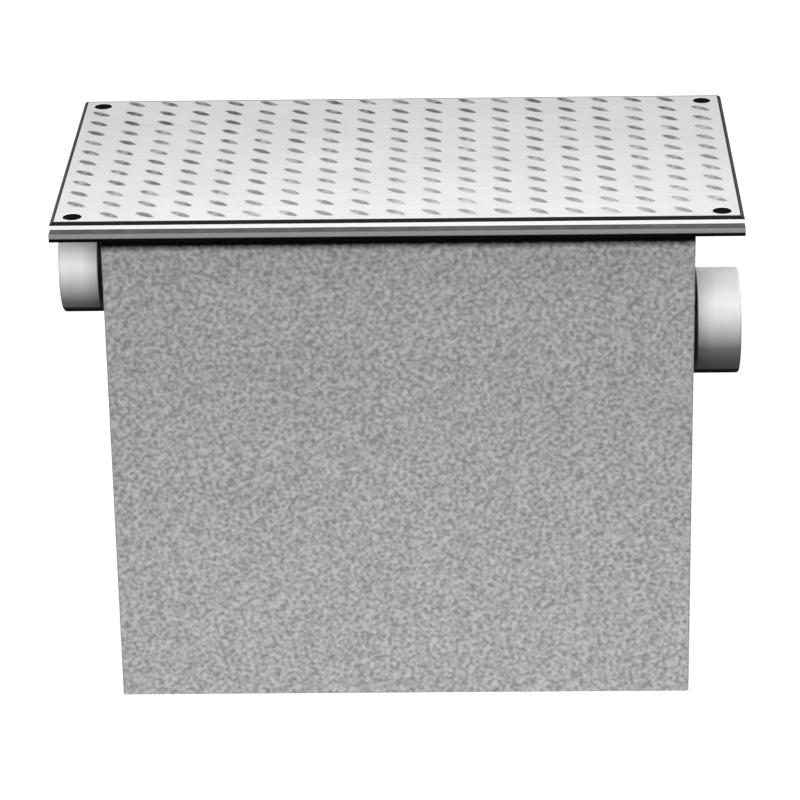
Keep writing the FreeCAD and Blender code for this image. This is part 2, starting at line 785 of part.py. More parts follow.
def draw_off_sleeve():
    """Thin tube that slides in the gland to set the level at which oil spills into it."""
    body = new_body("draw_off_sleeve")
    outer = sleeve_diameter / 2
    inner = outer - S["sleeve_wall"]
    length = S["sleeve_length"]
    edge = S["sleeve_wall"] / 2
    add_turned(body, "sleeve_profile", [
        (inner, 0), (outer, 0), (outer, length), (outer - edge, length), (inner, length - edge),
    ])
    return place(body, S["draw_off_place"], elbow_y, sleeve_top - S["sleeve_length"])


def is_upright(edge):
    start, end = (vertex.Point for vertex in edge.Vertexes)
    return abs(start.x - end.x) < SAME_PLACE and abs(start.y - end.y) < SAME_PLACE


def sediment_bucket():
    """Folded pan with punched sides, a lip front and back, and an ear for the bail at each end."""
    body = new_body("sediment_bucket")
    length, width, sheet = S["bucket_length"], S["bucket_width"], S["bucket_sheet"]
    depth = S["bucket_height"]
    outline = add_sketch(body, "bucket_outline", "XY_Plane")
    add_rectangle(outline, length, width)
    block = add_pad(body, outline, depth, flipped=True)
    rounded = add_fillet(body, block, S["bucket_corner"], is_upright)
    add_shell(body, rounded, sheet)
    lip = add_sketch(body, "bucket_lip", "XY_Plane")
    for side in (-1, 1):
        lip_width = S["bucket_lip"] + sheet
        lip_y = side * (width / 2 - sheet + lip_width / 2)
        add_rectangle(lip, length - 2 * S["bucket_corner"], lip_width, 0, lip_y)
    add_pad(body, lip, sheet, flipped=True)
    ears = add_sketch(body, "bucket_ears", "YZ_Plane", -length / 2)
    low = -S["ear_height"]
    add_rectangle(ears, S["ear_width"], 2 * S["ear_height"], 0, low + S["ear_height"])
    add_pad(body, ears, sheet)
    far_ears = add_sketch(body, "bucket_far_ears", "YZ_Plane", length / 2)
    add_rectangle(far_ears, S["ear_width"], 2 * S["ear_height"], 0, low + S["ear_height"])
    add_pad(body, far_ears, sheet, flipped=True)
    pivot = add_sketch(body, "bail_holes", "YZ_Plane")
    add_circle(pivot, S["bail_wire"] + 2 * S["bail_hole_clearance"], 0, bail_height - bucket_rim)
    add_pocket(body, pivot)
    first_y = -(BUCKET_HOLE_COLUMNS - 1) / 2 * S["bucket_hole_pitch"]
    punched = add_sketch(body, "bucket_holes", "YZ_Plane")
    add_circle(punched, S["bucket_hole"], first_y, S["bucket_hole_level"] - depth)
    hole = add_pocket(body, punched)
    rows = (BUCKET_HOLE_ROWS, S["bucket_hole_pitch"])
    add_grid(body, hole, (BUCKET_HOLE_COLUMNS, S["bucket_hole_pitch"]), rows, ("Y_Axis", "Z_Axis"))
    return place(body, bucket_middle, 0, bucket_rim)


def bucket_bail():
    """Wire loop that lies across the bucket, with its ends hooked out through the ears."""
    body = new_body("bucket_bail")
    ear_face = S["bucket_length"] / 2 - S["bucket_sheet"]
    leg = ear_face - S["bail_side_clearance"] - S["bail_wire"] / 2
    hook_end = S["bucket_length"] / 2 + S["bail_hook_end"]
    reach, corner, hook = -S["bail_reach"], S["bail_corner"], S["bail_hook_bend"]
    path = add_sketch(body, "bail_path", "XY_Plane")
    runs = [
        ((-hook_end, 0), (-leg - hook, 0)),
        ((-leg, -hook), (-leg, reach + corner)),
        ((-leg + corner, reach), (leg - corner, reach)),
        ((leg, reach + corner), (leg, -hook)),
        ((leg + hook, 0), (hook_end, 0)),
    ]
    bends = [
        (-leg - hook, -hook, hook, 0, 0.5, True),
        (-leg + corner, reach + corner, corner, 1, 1.5, False),
        (leg - corner, reach + corner, corner, 1.5, 2, False),
        (leg + hook, -hook, hook, 0.5, 1, True),
    ]
    add_bent_path(path, runs, bends)
    section = add_sketch(body, "bail_section", "YZ_Plane", -hook_end)
    add_circle(section, S["bail_wire"])
    wire = body.newObject("PartDesign::AdditivePipe", "bail_wire_swept")
    wire.Profile = section
    wire.Spine = path
    return place(body, bucket_middle, 0, bail_height)


def new_angle(label, leg, sheet, length, side):
    """Angle along X: one leg level, the other hanging down the wall on the given side of Y."""
    body = new_body(label)
    sketch = add_sketch(body, f"{label}_profile", "YZ_Plane")
    add_polygon(sketch, [
        (0, 0), (0, -leg), (-side * sheet, -leg),
        (-side * sheet, -sheet), (-side * leg, -sheet), (-side * leg, 0),
    ])
    add_pad(body, sketch, length, symmetric=True)
    return body


def bucket_rails():
    length = S["bucket_length"] + 2 * S["rail_overrun"]
    pieces = []
    for name, side in (("front", -1), ("back", 1)):
        rail = new_angle(f"{name}_bucket_rail", S["rail_leg"], S["rail_sheet"], length, side)
        pieces.append(place(rail, bucket_middle, side * inner_half_depth, rail_top))
    return pieces


def diffuser_baffle():
    """Punched plate across the tank with a folded lip at the top to lift it by."""
    body = new_body("diffuser_baffle")
    sheet, lip = S["diffuser_sheet"], S["diffuser_lip"]
    height = diffuser_top - S["diffuser_bottom"]
    half_width = inner_half_depth - S["guide_sheet"] - S["guide_clearance"]
    profile = add_sketch(body, "diffuser_profile", "XZ_Plane")
    left, right = -sheet / 2, sheet / 2
    add_polygon(profile, [
        (left, 0), (right, 0), (right, height - sheet), (left + lip, height - sheet),
        (left + lip, height), (left, height),
    ])
    add_pad(body, profile, 2 * half_width, symmetric=True)
    first_y = -(DIFFUSER_HOLE_COLUMNS - 1) / 2 * S["diffuser_hole_pitch_y"]
    punched = add_sketch(body, "diffuser_holes", "YZ_Plane")
    add_circle(punched, S["diffuser_hole"], first_y, S["diffuser_hole_level"] - S["diffuser_bottom"])
    hole = add_pocket(body, punched)
    columns = (DIFFUSER_HOLE_COLUMNS, S["diffuser_hole_pitch_y"])
    add_grid(body, hole, columns, (DIFFUSER_HOLE_ROWS, S["diffuser_hole_pitch_z"]), ("Y_Axis", "Z_Axis"))
    return place(body, diffuser_x, 0, S["diffuser_bottom"])


def baffle_guides():
    """Channels on the front and back walls, closed at the foot, that the diffuser slides down into."""
    sheet = S["guide_sheet"]
    stop = S["diffuser_bottom"] - sheet
    depth = sheet + S["guide_grip"]
    pieces = []
    for name, side in (("front", -1), ("back", 1)):
        body = new_body(f"{name}_baffle_guide")
        outline = add_sketch(body, f"{name}_guide_outline", "XY_Plane")
        add_rectangle(outline, guide_width, depth, 0, -side * depth / 2)
        add_pad(body, outline, guide_top - stop)
        slot = add_sketch(body, f"{name}_guide_slot", "XY_Plane", sheet)
        slot_depth = S["guide_grip"] + HOLE_OVERRUN
        add_rectangle(slot, guide_width - 2 * sheet, slot_depth, 0, -side * (sheet + slot_depth / 2))
        add_pocket(body, slot, guide_top - S["diffuser_bottom"] + HOLE_OVERRUN, flipped=True)
        pieces.append(place(body, diffuser_x, side * inner_half_depth, stop))
    return pieces


def shelf_and_ledges():
    """Horizontal baffle that lies on a ledge at the front and one at the back."""
    length = S["shelf_length"]
    middle = shelf_start + length / 2
    width = 2 * (inner_half_depth - S["shelf_side_clearance"])
    shelf = new_plate("horizontal_baffle", "XY_Plane", length, width, S["shelf_sheet"])
    pieces = [place(shelf, middle, 0, ledge_top + S["shelf_sheet"] / 2)]
    for name, side in (("front", -1), ("back", 1)):
        ledge_length = length - 2 * S["ledge_setback"]
        ledge = new_angle(f"{name}_baffle_ledge", S["ledge_leg"], S["ledge_sheet"], ledge_length, side)
        pieces.append(place(ledge, middle, side * inner_half_depth, ledge_top))
    return pieces


def trap_hood():
    """Folded sheet that makes water leave from low in the tank, open below, with a cleanout hole."""
    body = new_body("trap_hood")
    sheet, reach = S["wall"], S["hood_reach"]
    height = hood_top - S["hood_bottom"]
    profile = add_sketch(body, "hood_profile", "XZ_Plane")
    add_polygon(profile, [
        (0, 0), (sheet, 0), (sheet, height - sheet), (reach, height - sheet), (reach, height), (0, height),
    ])
    fold = add_pad(body, profile, 2 * inner_half_depth, symmetric=True)

    def at_corner(inset):
        def wanted(edge):
            middle = edge.CenterOfMass
            return abs(middle.x - inset) < SAME_PLACE and abs(middle.z - height.value + inset) < SAME_PLACE
        return wanted

    outside = add_fillet(body, fold, S["hood_bend"] + sheet, at_corner(0))
    add_fillet(body, outside, S["hood_bend"], at_corner(sheet.value))
    cleanout = add_sketch(body, "hood_cleanout", "XY_Plane")
    add_circle(cleanout, service_hole, reach / 2, 0)
    add_pocket(body, cleanout)
    return place(body, hood_start, 0, S["hood_bottom"])


def trap_weir_plate():
    height = weir_top - S["wall"]
    body = new_plate("trap_weir_plate", "YZ_Plane", 2 * inner_half_depth, height, S["wall"])
    middle = inner_half_length - S["weir_reach"] + S["wall"] / 2
    return place(body, middle, 0, S["wall"] + height / 2)


def cleanout_ferrule():
    body = new_coupling(
        "cleanout_ferrule", service_diameter, service_bore, S["ferrule_height"], S["service_chamfer"])
    return place(body, cleanout_x, 0, hood_top)


def cleanout_plug():
    """Screwed plug with a raised square head."""
    body = new_body("cleanout_plug")
    radius = service_bore / 2 - S["thread_clearance"]
    crown = S["plug_crown"]
    add_turned(body, "plug_profile", [
        (0, -S["plug_depth"]), (radius - crown / 2, -S["plug_depth"]), (radius, crown / 2 - S["plug_depth"]),
        (radius, crown / 2), (radius - crown / 2, crown), (0, crown),
    ])
    head = add_sketch(body, "plug_head", "XY_Plane", crown)
    add_rectangle(head, S["plug_head"], S["plug_head"])
    add_pad(body, head, S["plug_head_height"])
    return place(body, cleanout_x, 0, hood_top + S["ferrule_height"])


def all_pieces():
    return [
        *tank_plates(), *rim_bars(), cover_gasket(), cover_plate(), cover_screws(), *port_couplings(),
        draw_off_coupling(), draw_off_elbow(), draw_off_riser(), draw_off_gland_nut(), draw_off_packing(),
        draw_off_sleeve(), sediment_bucket(), bucket_bail(), *bucket_rails(), diffuser_baffle(),
        *baffle_guides(), *shelf_and_ledges(), trap_hood(), trap_weir_plate(), cleanout_ferrule(),
        cleanout_plug(),
    ]


def check(pieces):
    """Stop before anything is written if an object failed or a shape is empty or broken."""
    for thing in doc.Objects:
        if "Invalid" in thing.State or "Error" in thing.State:
            raise RuntimeError(f"{thing.Label} failed: {thing.State}")
    for piece in pieces:
        if piece.Shape.isNull() or not piece.Shape.isValid():
            raise RuntimeError(f"{piece.Label} has no valid shape")


def write(pieces):
    os.makedirs("parts", exist_ok=True)
    for piece in pieces:
        piece.Shape.exportStep(f"parts/{piece.Label}.step")
        print(f"{piece.Label}: {len(piece.Shape.Solids)} solids, {piece.Shape.Volume:.0f} mm3")


pieces = all_pieces()
doc.recompute()
check(pieces)
write(pieces)
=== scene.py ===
"""Looks of the oil separator: finishes, the cover's lugs, pipe threads, cover screws and weld beads.

Metres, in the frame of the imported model: +X from the inlet to the outlet, +Y to the back, +Z up.
"""

import json
import math
import random

import bpy
from mathutils import Matrix, Quaternion, Vector
from mathutils.geometry import delaunay_2d_cdt


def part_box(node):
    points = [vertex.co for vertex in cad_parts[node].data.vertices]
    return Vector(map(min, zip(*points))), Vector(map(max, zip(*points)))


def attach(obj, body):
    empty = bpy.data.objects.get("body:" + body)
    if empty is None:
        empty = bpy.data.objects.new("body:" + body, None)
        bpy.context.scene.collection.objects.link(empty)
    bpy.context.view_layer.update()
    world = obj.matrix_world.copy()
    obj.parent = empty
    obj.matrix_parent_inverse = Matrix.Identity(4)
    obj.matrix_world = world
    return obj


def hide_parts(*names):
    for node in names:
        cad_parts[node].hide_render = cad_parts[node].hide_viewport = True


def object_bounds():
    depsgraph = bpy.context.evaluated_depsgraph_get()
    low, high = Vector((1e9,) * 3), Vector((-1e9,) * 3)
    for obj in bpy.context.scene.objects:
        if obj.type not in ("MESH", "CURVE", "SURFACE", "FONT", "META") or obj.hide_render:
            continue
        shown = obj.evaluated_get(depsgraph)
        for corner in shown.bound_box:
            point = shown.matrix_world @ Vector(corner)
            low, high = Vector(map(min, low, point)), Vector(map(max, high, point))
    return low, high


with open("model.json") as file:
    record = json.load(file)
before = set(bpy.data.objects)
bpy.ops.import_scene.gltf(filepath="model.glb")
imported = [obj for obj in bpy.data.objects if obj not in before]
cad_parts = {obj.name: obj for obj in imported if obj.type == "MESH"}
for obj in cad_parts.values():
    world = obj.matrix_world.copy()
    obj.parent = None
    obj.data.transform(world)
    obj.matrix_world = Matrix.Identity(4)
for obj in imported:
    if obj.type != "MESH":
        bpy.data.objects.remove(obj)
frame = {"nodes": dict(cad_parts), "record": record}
cad_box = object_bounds()

MM = 0.001
TAU = 2 * math.pi
SEED = 7
LEFT = Vector((-1, 0, 0))
RIGHT = Vector((1, 0, 0))
FRONT = Vector((0, -1, 0))
BACK = Vector((0, 1, 0))
DOWN = Vector((0, 0, -1))
UP = Vector((0, 0, 1))

# Camera at the photograph's viewing angle
CAMERA_PLACE = (0.07601, -3.44267, 1.73609)
CAMERA_AZIMUTH = 1.3249
CAMERA_ELEVATION = 23.1491
CAMERA_ROLL = -1.0139
CAMERA_LENS = 164.98

# Softboxes: place, point aimed at, width, height, and the brightness they give white paper
SOFTBOXES = {
    "front_softbox": ((0.08, -2.5, 1.25), (0, -0.1, 0.28), 0.9, 0.6, 0.84),
    "top_softbox": ((0.02, -0.6, 1.35), (0, -0.15, 0.53), 0.9, 0.6, 0.5),
    "left_softbox": ((-2.2, 1.7, 1.0), (0, 0, 0.3), 1.2, 0.8, 0.6),
    "right_softbox": ((2.2, 1.7, 1.0), (0, 0, 0.3), 1.2, 0.8, 0.6),
}
AMBIENT = 0.25
FLOOR_SIZE = 80
FLOOR_GLOW = 0.78
FLOOR_PALE = 0.4
FLOOR_DIM = 0.15
WHITE = (1, 1, 1, 1)


# Pieces

# Degrees between two faces from which their edge is hard, on machined pieces and on beads
MACHINED_CREASE = 35
BEAD_CREASE = 60


def add_piece(name, vertices, faces, finish, body, matrix=None):
    """A new mesh that rides on a body and wears the finish it is given."""
    mesh = bpy.data.meshes.new(name)
    mesh.from_pydata([tuple(v) for v in vertices], [], faces)
    mesh.validate()
    mesh.materials.append(finish)
    piece = bpy.data.objects.new(name, mesh)
    bpy.context.scene.collection.objects.link(piece)
    if matrix is not None:
        piece.matrix_world = matrix
    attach(piece, body)
    return piece


def shade_smooth(piece, crease):
    """Smooth shading with hard edges where two faces turn by more than the crease."""
    mesh = piece.data
    mesh.polygons.foreach_set("use_smooth", [True] * len(mesh.polygons))
    mesh.set_sharp_from_angle(angle=math.radians(crease))


def add_attribute(piece, name, values):
    attribute = piece.data.attributes.new(name, "FLOAT", "POINT")
    attribute.data.foreach_set("value", values)


def add_rows(vertices, faces, rows, closed_along=False):
    """Join closed rows of equally many points by four-sided faces."""
    first = len(vertices)
    count = len(rows[0])
    for row in rows:
        vertices.extend(row)
    pairs = [(i, i + 1) for i in range(len(rows) - 1)]
    if closed_along:
        pairs.append((len(rows) - 1, 0))
    for low, high in pairs:
        for j in range(count):
            k = (j + 1) % count
            faces.append((
                first + low * count + j, first + low * count + k,
                first + high * count + k, first + high * count + j,
            ))


def close_ends(faces, first, end, count):
    """Close both ends of a run of rows that holds the points from first to before end."""
    faces.append(tuple(first + j for j in reversed(range(count))))
    faces.append(tuple(end - count + j for j in range(count)))


# Finishes

# Turn of the enamel's grain, so that no plate lies square to it
OBLIQUE = (0.6, 0.5, 0.4)

# How like the rounded surface is to the flat one, off an edge and on it
EDGE_LIKENESS = (0.98, 0.8)
EDGE_SAMPLES = 4

# Enamel: greys at the tank's foot and higher up, darker upward as painted shade, on rubbed edges, on the rim
# and in the rim's painted shadow
WALL_GREYS = (0.43, 0.3)
WALL_SHADE_SHARE = 0.7
RUBBED_ENAMEL_GREY = 0.58
RIM_GREYS = (0.2, 0.23)
RIM_BLEND = 0.5 * MM
RIM_SHADOW_GREY = 0.002

# Painted shadow under the rim: how far below and above the rim's underside it reaches, and its soft, ragged
# lower edge
RIM_SHADOW_DROP = 20.5 * MM
RIM_SHADOW_FADE = 7 * MM
RIM_SHADOW_RISE = 3.3 * MM
RIM_SHADOW_RAGGED = 0.6 * MM

# Tread plate: stretches over which its tones run, lighter to the front as painted light and, on the lugs,
# darker to the back and the left as painted shade; and greys of its marks
FRONT_TO_BACK = (-180 * MM, 180 * MM)
LEFT_TO_MIDDLE = (-300 * MM, 0)
PLATE_HIGHLIGHT_GREY = 0.9
LUG_DIRT_AND_SHADE_GREYS = (0.3, 0.11)
SHEARED_EDGE_GREY = 0.75
ARRIS_GREY = 0.012

# Couplings: heights about the axis, as shares of the radius, over which their painted shade, black underside
# line and painted rim shadow come or go
UNDERSIDE_LINE_EDGE = (-0.76, -0.68)
UNDERSIDE_SHADE_HEART = (-0.7, -0.2)
UNDERSIDE_SHADE_EDGE = (-0.2, 0.62)
COUPLING_SHADOW_EDGE = (0.15, 0.6)
FOOT_BAND_GREY = 0.008

BRIGHT_BRONZE = (0.58, 0.38, 0.17)
DULL_BRONZE = (0.32, 0.21, 0.1)


class Finish:
    """A procedural material whose nodes are added one at a time."""

    def __init__(self, name, **settings):
        self.material = bpy.data.materials.new(name)
        self.material.use_nodes = True
        self.nodes = self.material.node_tree.nodes
        self.links = self.material.node_tree.links
        self.shader = self.nodes["Principled BSDF"]
        self.place = self.nodes.new("ShaderNodeTexCoord").outputs["Object"]
        for socket, value in settings.items():
            self.set(socket.replace("_", " "), value)

    def set(self, socket, value):
        """Feed one of the shader's sockets."""
        self.feed(self.shader.inputs[socket], value)

    def feed(self, socket, value):
        if isinstance(value, bpy.types.NodeSocket):
            self.links.new(value, socket)
        else:
            socket.default_value = value

    def add(self, kind, inputs, **settings):
        node = self.nodes.new(kind)
        for name, value in settings.items():
            setattr(node, name, value)
        for key, value in inputs.items():
            self.feed(node.inputs[key], value)
        return node

    def stretched(self, x, y, z):
        """Object coordinates with a scale of their own along each axis."""
        return self.add("ShaderNodeMapping", {"Vector": self.place, "Scale": (x, y, z)}).outputs["Vector"]

    def turned(self):
        """Object coordinates turned so that no plate lies square to them."""
        return self.add("ShaderNodeMapping", {"Vector": self.place, "Rotation": OBLIQUE}).outputs["Vector"]

    def axes(self):
        """The object coordinates apart, as outputs X, Y and Z."""
        return self.add("ShaderNodeSeparateXYZ", {"Vector": self.place}).outputs

    def noise(self, scale, detail=2.0, place=None):
        """Soft random patches, as many to the metre as the scale says."""
        inputs = {"Vector": place or self.place, "Scale": scale, "Detail": detail}
        return self.add("ShaderNodeTexNoise", inputs).outputs["Fac"]

    def cells(self, scale):
        """Random tones, each filling a cell."""
        return self.add("ShaderNodeTexVoronoi", {"Vector": self.place, "Scale": scale}).outputs["Color"]

    def attribute(self, name):
        return self.add("ShaderNodeAttribute", {}, attribute_name=name).outputs["Fac"]

    def spread(self, value, low, high, to_low=0.0, to_high=1.0):
        """Bring a range of values to another range, held at its ends."""
        inputs = {"Value": value, "From Min": low, "From Max": high, "To Min": to_low, "To Max": to_high}
        return self.add("ShaderNodeMapRange", inputs).outputs["Result"]

    def vary(self, noise, low, high, reach=0.2):
        """Values from low to high, as a noise runs from its reach below one half to its reach above."""
        return self.spread(noise, 0.5 - reach, 0.5 + reach, low, high)

    def math(self, operation, first, second=0.0):
        return self.add("ShaderNodeMath", {0: first, 1: second}, operation=operation).outputs[0]

    def product(self, first, *others):
        for other in others:
            first = self.math("MULTIPLY", first, other)
        return first

    def mix(self, share, first, second):
        """A grey between two greys."""
        inputs = {"Factor": share, "A": first, "B": second}
        return self.add("ShaderNodeMix", inputs).outputs["Result"]

    def tint(self, share, first, second):
        """A colour between two colours: the mix takes colours at sockets 6 and 7 and gives one at 2."""
        node = self.add("ShaderNodeMix", {0: share, 6: (*first, 1), 7: (*second, 1)}, data_type="RGBA")
        return node.outputs[2]

    def edges(self, radius):
        """One along the piece's sharp edges, zero on its flat faces."""
        rounded = self.add("ShaderNodeBevel", {"Radius": radius}, samples=EDGE_SAMPLES).outputs["Normal"]
        flat = self.add("ShaderNodeNewGeometry", {}).outputs["Normal"]
        likeness = self.add("ShaderNodeVectorMath", {0: rounded, 1: flat}, operation="DOT_PRODUCT")
        return self.spread(likeness.outputs["Value"], *EDGE_LIKENESS)

    def bump(self, height, depth, below=None):
        inputs = {"Height": height, "Distance": depth}
        if below is not None:
            inputs["Normal"] = below
        return self.add("ShaderNodeBump", inputs).outputs["Normal"]


def tank_finish():
    """Speckled grey enamel over steel plate: fine grain, rubbed edges, painted shade towards the rim, a
    painted shadow under the rim, a darker rim.
    """
    paint = Finish("speckled_enamel", Specular_IOR_Level=0.03)
    height = paint.axes()["Z"]
    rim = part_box("front_rim_bar")[0].z
    on_rim = paint.spread(height, rim, rim + RIM_BLEND)
    grain = paint.noise(240, detail=0.0, place=paint.turned())
    fleck = paint.noise(640, detail=1.0)
    cloud = paint.noise(9)
    speckle = paint.product(
        paint.vary(grain, 0.65, 1.35, reach=0.3),
        paint.vary(fleck, 0.93, 1.07, reach=0.25),
        paint.vary(cloud, 0.99, 1.02),
    )
    # Lighter at the foot and darker towards the rim: painted shade
    wall_tone = paint.product(speckle, paint.spread(height, 0, WALL_SHADE_SHARE * rim, *WALL_GREYS))
    wear_and_highlight = paint.product(paint.edges(1.5 * MM), paint.spread(paint.noise(120), 0.4, 0.65, 0.2, 0.8))
    wall_tone = paint.mix(wear_and_highlight, wall_tone, RUBBED_ENAMEL_GREY)
    rim_tone = paint.vary(fleck, *RIM_GREYS, reach=0.25)
    tone = paint.mix(on_rim, wall_tone, rim_tone)
    # Near black on the walls under the rim and on the rim's lower edge: painted shadow
    rim_shadow = painted_rim_shadow(paint, rim)
    paint.set("Base Color", paint.mix(rim_shadow, tone, RIM_SHADOW_GREY))
    paint.set("Roughness", paint.mix(rim_shadow, paint.vary(grain, 0.62, 0.48), 1.0))
    paint.set("Normal", paint.bump(grain, 0.25 * MM, below=paint.bump(fleck, 0.08 * MM)))
    return paint.material


def painted_rim_shadow(paint, rim):
    """Painted shadow: one on the outside of the walls just under the rim and along the rim's lower edge."""
    across, deep, height = (paint.axes()[name] for name in "XYZ")
    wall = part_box("front_wall")
    ragged = paint.math("ADD", height, paint.vary(paint.noise(160), -RIM_SHADOW_RAGGED, RIM_SHADOW_RAGGED))
    rising = paint.spread(ragged, rim - RIM_SHADOW_DROP - RIM_SHADOW_FADE, rim - RIM_SHADOW_DROP)
    falling = paint.spread(height, rim + RIM_SHADOW_RISE, rim + RIM_SHADOW_RISE + MM, 1.0, 0.0)
    past_end = paint.math("GREATER_THAN", paint.math("ABSOLUTE", across), wall[1].x - MM)
    past_side = paint.math("GREATER_THAN", paint.math("ABSOLUTE", deep), -wall[0].y - MM)
    return paint.product(rising, falling, paint.math("MAXIMUM", past_end, past_side))


def cover_finish():
    """Pale tread plate: rolled streaks, dull patches, painted light to the front, lugs darkened by dirt and
    painted shade, painted highlights round their roots, black arris over a bright sheared edge.
    """
    steel = Finish("pale_tread_plate", Specular_IOR_Level=0.03)
    across, deep = (steel.axes()[name] for name in "XY")
    patch = steel.noise(14, detail=3.0)
    grit = steel.noise(900, detail=1.0)
    streak = steel.noise(1.0, place=steel.stretched(9, 420, 9))
    tone = steel.product(
        steel.vary(patch, 0.76, 0.82),
        steel.vary(grit, 0.96, 1.04, reach=0.25),
        steel.vary(streak, 0.97, 1.03),
        # Lighter towards the front: painted light
        steel.spread(deep, *FRONT_TO_BACK, 1.05, 0.93),
    )
    # Painted highlight round each lug's root
    tone = steel.mix(steel.attribute("wear_and_highlight"), tone, PLATE_HIGHLIGHT_GREY)
    # Lugs darkened by dirt and painted shade, more to the back and the left
    dirt_and_shade = steel.product(steel.attribute("dirt_and_shade"), steel.spread(steel.noise(70), 0.3, 0.62, 0.5, 1.1))
    dirt_and_shade_tone = steel.product(
        steel.spread(deep, *FRONT_TO_BACK, *LUG_DIRT_AND_SHADE_GREYS),
        steel.spread(across, *LEFT_TO_MIDDLE, 0.66, 1.08),
    )
    tone = steel.mix(dirt_and_shade, tone, dirt_and_shade_tone)
    tone = steel.mix(steel.attribute("edge"), tone, SHEARED_EDGE_GREY)
    tone = steel.mix(steel.attribute("arris"), tone, ARRIS_GREY)
    steel.set("Base Color", tone)
    steel.set("Roughness", steel.vary(patch, 0.45, 0.6))
    steel.set("Normal", steel.bump(grit, 0.03 * MM, below=steel.bump(streak, 0.05 * MM)))
    return steel.material


def port_finish():
    """Pale satin steel: turning marks, painted shade underneath with a black painted shade line at the
    bottom, a painted rim shadow, a black band beside the weld.
    """
    steel = Finish("pale_satin_steel", Specular_IOR_Level=0.04)
    ring = steel.noise(1.0, place=steel.stretched(15, 15, 1900))
    patch = steel.noise(30, detail=3.0)
    # Black along the very bottom: painted shade
    off_underside_line = steel.spread(steel.attribute("height_share"), *UNDERSIDE_LINE_EDGE)
    upward = steel.attribute("upward")
    tone = steel.product(
        steel.vary(ring, 0.96, 1.03),
        steel.vary(patch, 0.86, 0.92),
        # Darker towards the underside: painted shade, reaching less high on some couplings
        steel.spread(upward, *UNDERSIDE_SHADE_EDGE, 0.16, 1.0),
        steel.spread(upward, *UNDERSIDE_SHADE_HEART, 0.3, 1.0),
        steel.mix(off_underside_line, 0.05, 1.0),
        # Darker on the inlet's top, under the rim: painted shadow
        steel.spread(steel.attribute("coupling_rim_shadow"), *COUPLING_SHADOW_EDGE, 1.0, 0.55),
    )
    steel.set("Base Color", steel.mix(steel.attribute("foot_band"), tone, FOOT_BAND_GREY))
    steel.set("Roughness", steel.mix(off_underside_line, 1.0, steel.vary(patch, 0.36, 0.48)))
    steel.set("Normal", steel.bump(ring, 0.03 * MM))
    return steel.material


def weld_finish():
    """Dark burnt weld metal."""
    metal = Finish("burnt_weld", Metallic=0.5)
    grit = metal.noise(500)
    metal.set("Base Color", metal.vary(grit, 0.025, 0.07))
    metal.set("Roughness", metal.vary(grit, 0.45, 0.65))
    metal.set("Normal", metal.bump(grit, 0.1 * MM))
    return metal.material


def rubber_finish():
    """Matt black sheet rubber, dusty in places."""
    rubber = Finish("sheet_rubber", Roughness=0.8)
    dust = rubber.noise(45, detail=4.0)
    grit = rubber.noise(1400, detail=1.0)
    rubber.set("Base Color", rubber.spread(dust, 0.35, 0.7, 0.06, 0.1))
    rubber.set("Normal", rubber.bump(grit, 0.05 * MM))
    return rubber.material


def screw_finish():
    """Black oxide, rubbed a little along the edges."""
    oxide = Finish("black_oxide", Specular_IOR_Level=0.0)
    grit = oxide.noise(800)
    worn = oxide.product(oxide.edges(0.3 * MM), oxide.spread(grit, 0.45, 0.7))
    oxide.set("Base Color", oxide.mix(worn, 0.008, 0.06))
    oxide.set("Roughness", oxide.vary(grit, 0.5, 0.7))
    oxide.set("Normal", oxide.bump(grit, 0.02 * MM))
    return oxide.material


def zinc_finish():
    """Zinc-coated sheet with a faint spangle."""
    zinc = Finish("zinc_sheet", Metallic=0.8)
    spangle = zinc.cells(75)
    patch = zinc.noise(20, detail=3.0)
    zinc.set("Base Color", zinc.product(zinc.spread(spangle, 0, 1, 0.9, 1.08), zinc.vary(patch, 0.5, 0.58)))
    zinc.set("Roughness", zinc.spread(spangle, 0, 1, 0.32, 0.5))
    zinc.set("Normal", zinc.bump(patch, 0.2 * MM))
    return zinc.material


def iron_finish():
    """Dark malleable iron with a cast skin, worn bright at the edges."""
    iron = Finish("malleable_iron", Metallic=0.4)
    skin = iron.noise(420, detail=3.0)
    patch = iron.noise(25)
    worn = iron.product(iron.edges(1.2 * MM), iron.spread(skin, 0.4, 0.65))
    iron.set("Base Color", iron.mix(worn, iron.vary(patch, 0.075, 0.12), 0.3))
    iron.set("Roughness", iron.vary(skin, 0.5, 0.7))
    iron.set("Normal", iron.bump(skin, 0.15 * MM))
    return iron.material


def bronze_finish():
    """Machined bronze, tarnished in patches."""
    bronze = Finish("machined_bronze", Metallic=0.9)
    patch = bronze.noise(40, detail=4.0)
    ring = bronze.noise(1.0, place=bronze.stretched(30, 30, 1500))
    bronze.set("Base Color", bronze.tint(bronze.spread(patch, 0.4, 0.7), BRIGHT_BRONZE, DULL_BRONZE))
    bronze.set("Roughness", bronze.vary(patch, 0.28, 0.5))
    bronze.set("Normal", bronze.bump(ring, 0.03 * MM))
    return bronze.material


FINISHES = {
    "tank_paint": tank_finish(),
    "cover_steel": cover_finish(),
    "port_steel": port_finish(),
    "gasket_rubber": rubber_finish(),
    "screw_black": screw_finish(),
    "inner_steel": zinc_finish(),
    "fitting_iron": iron_finish(),
    "bronze": bronze_finish(),
}
WELD = weld_finish()

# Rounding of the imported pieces' edges, where they turn by more than the angle
EDGE_ROUNDING = {
    "tank_paint": 0.9 * MM,
    "gasket_rubber": 0.5 * MM,
    "screw_black": 0.25 * MM,
    "bronze": 0.7 * MM,
    "inner_steel": 0.35 * MM,
}
ROUNDING_ANGLE = 40
ROUNDING_SEGMENTS = 3
JOIN_DISTANCE = 0.005 * MM


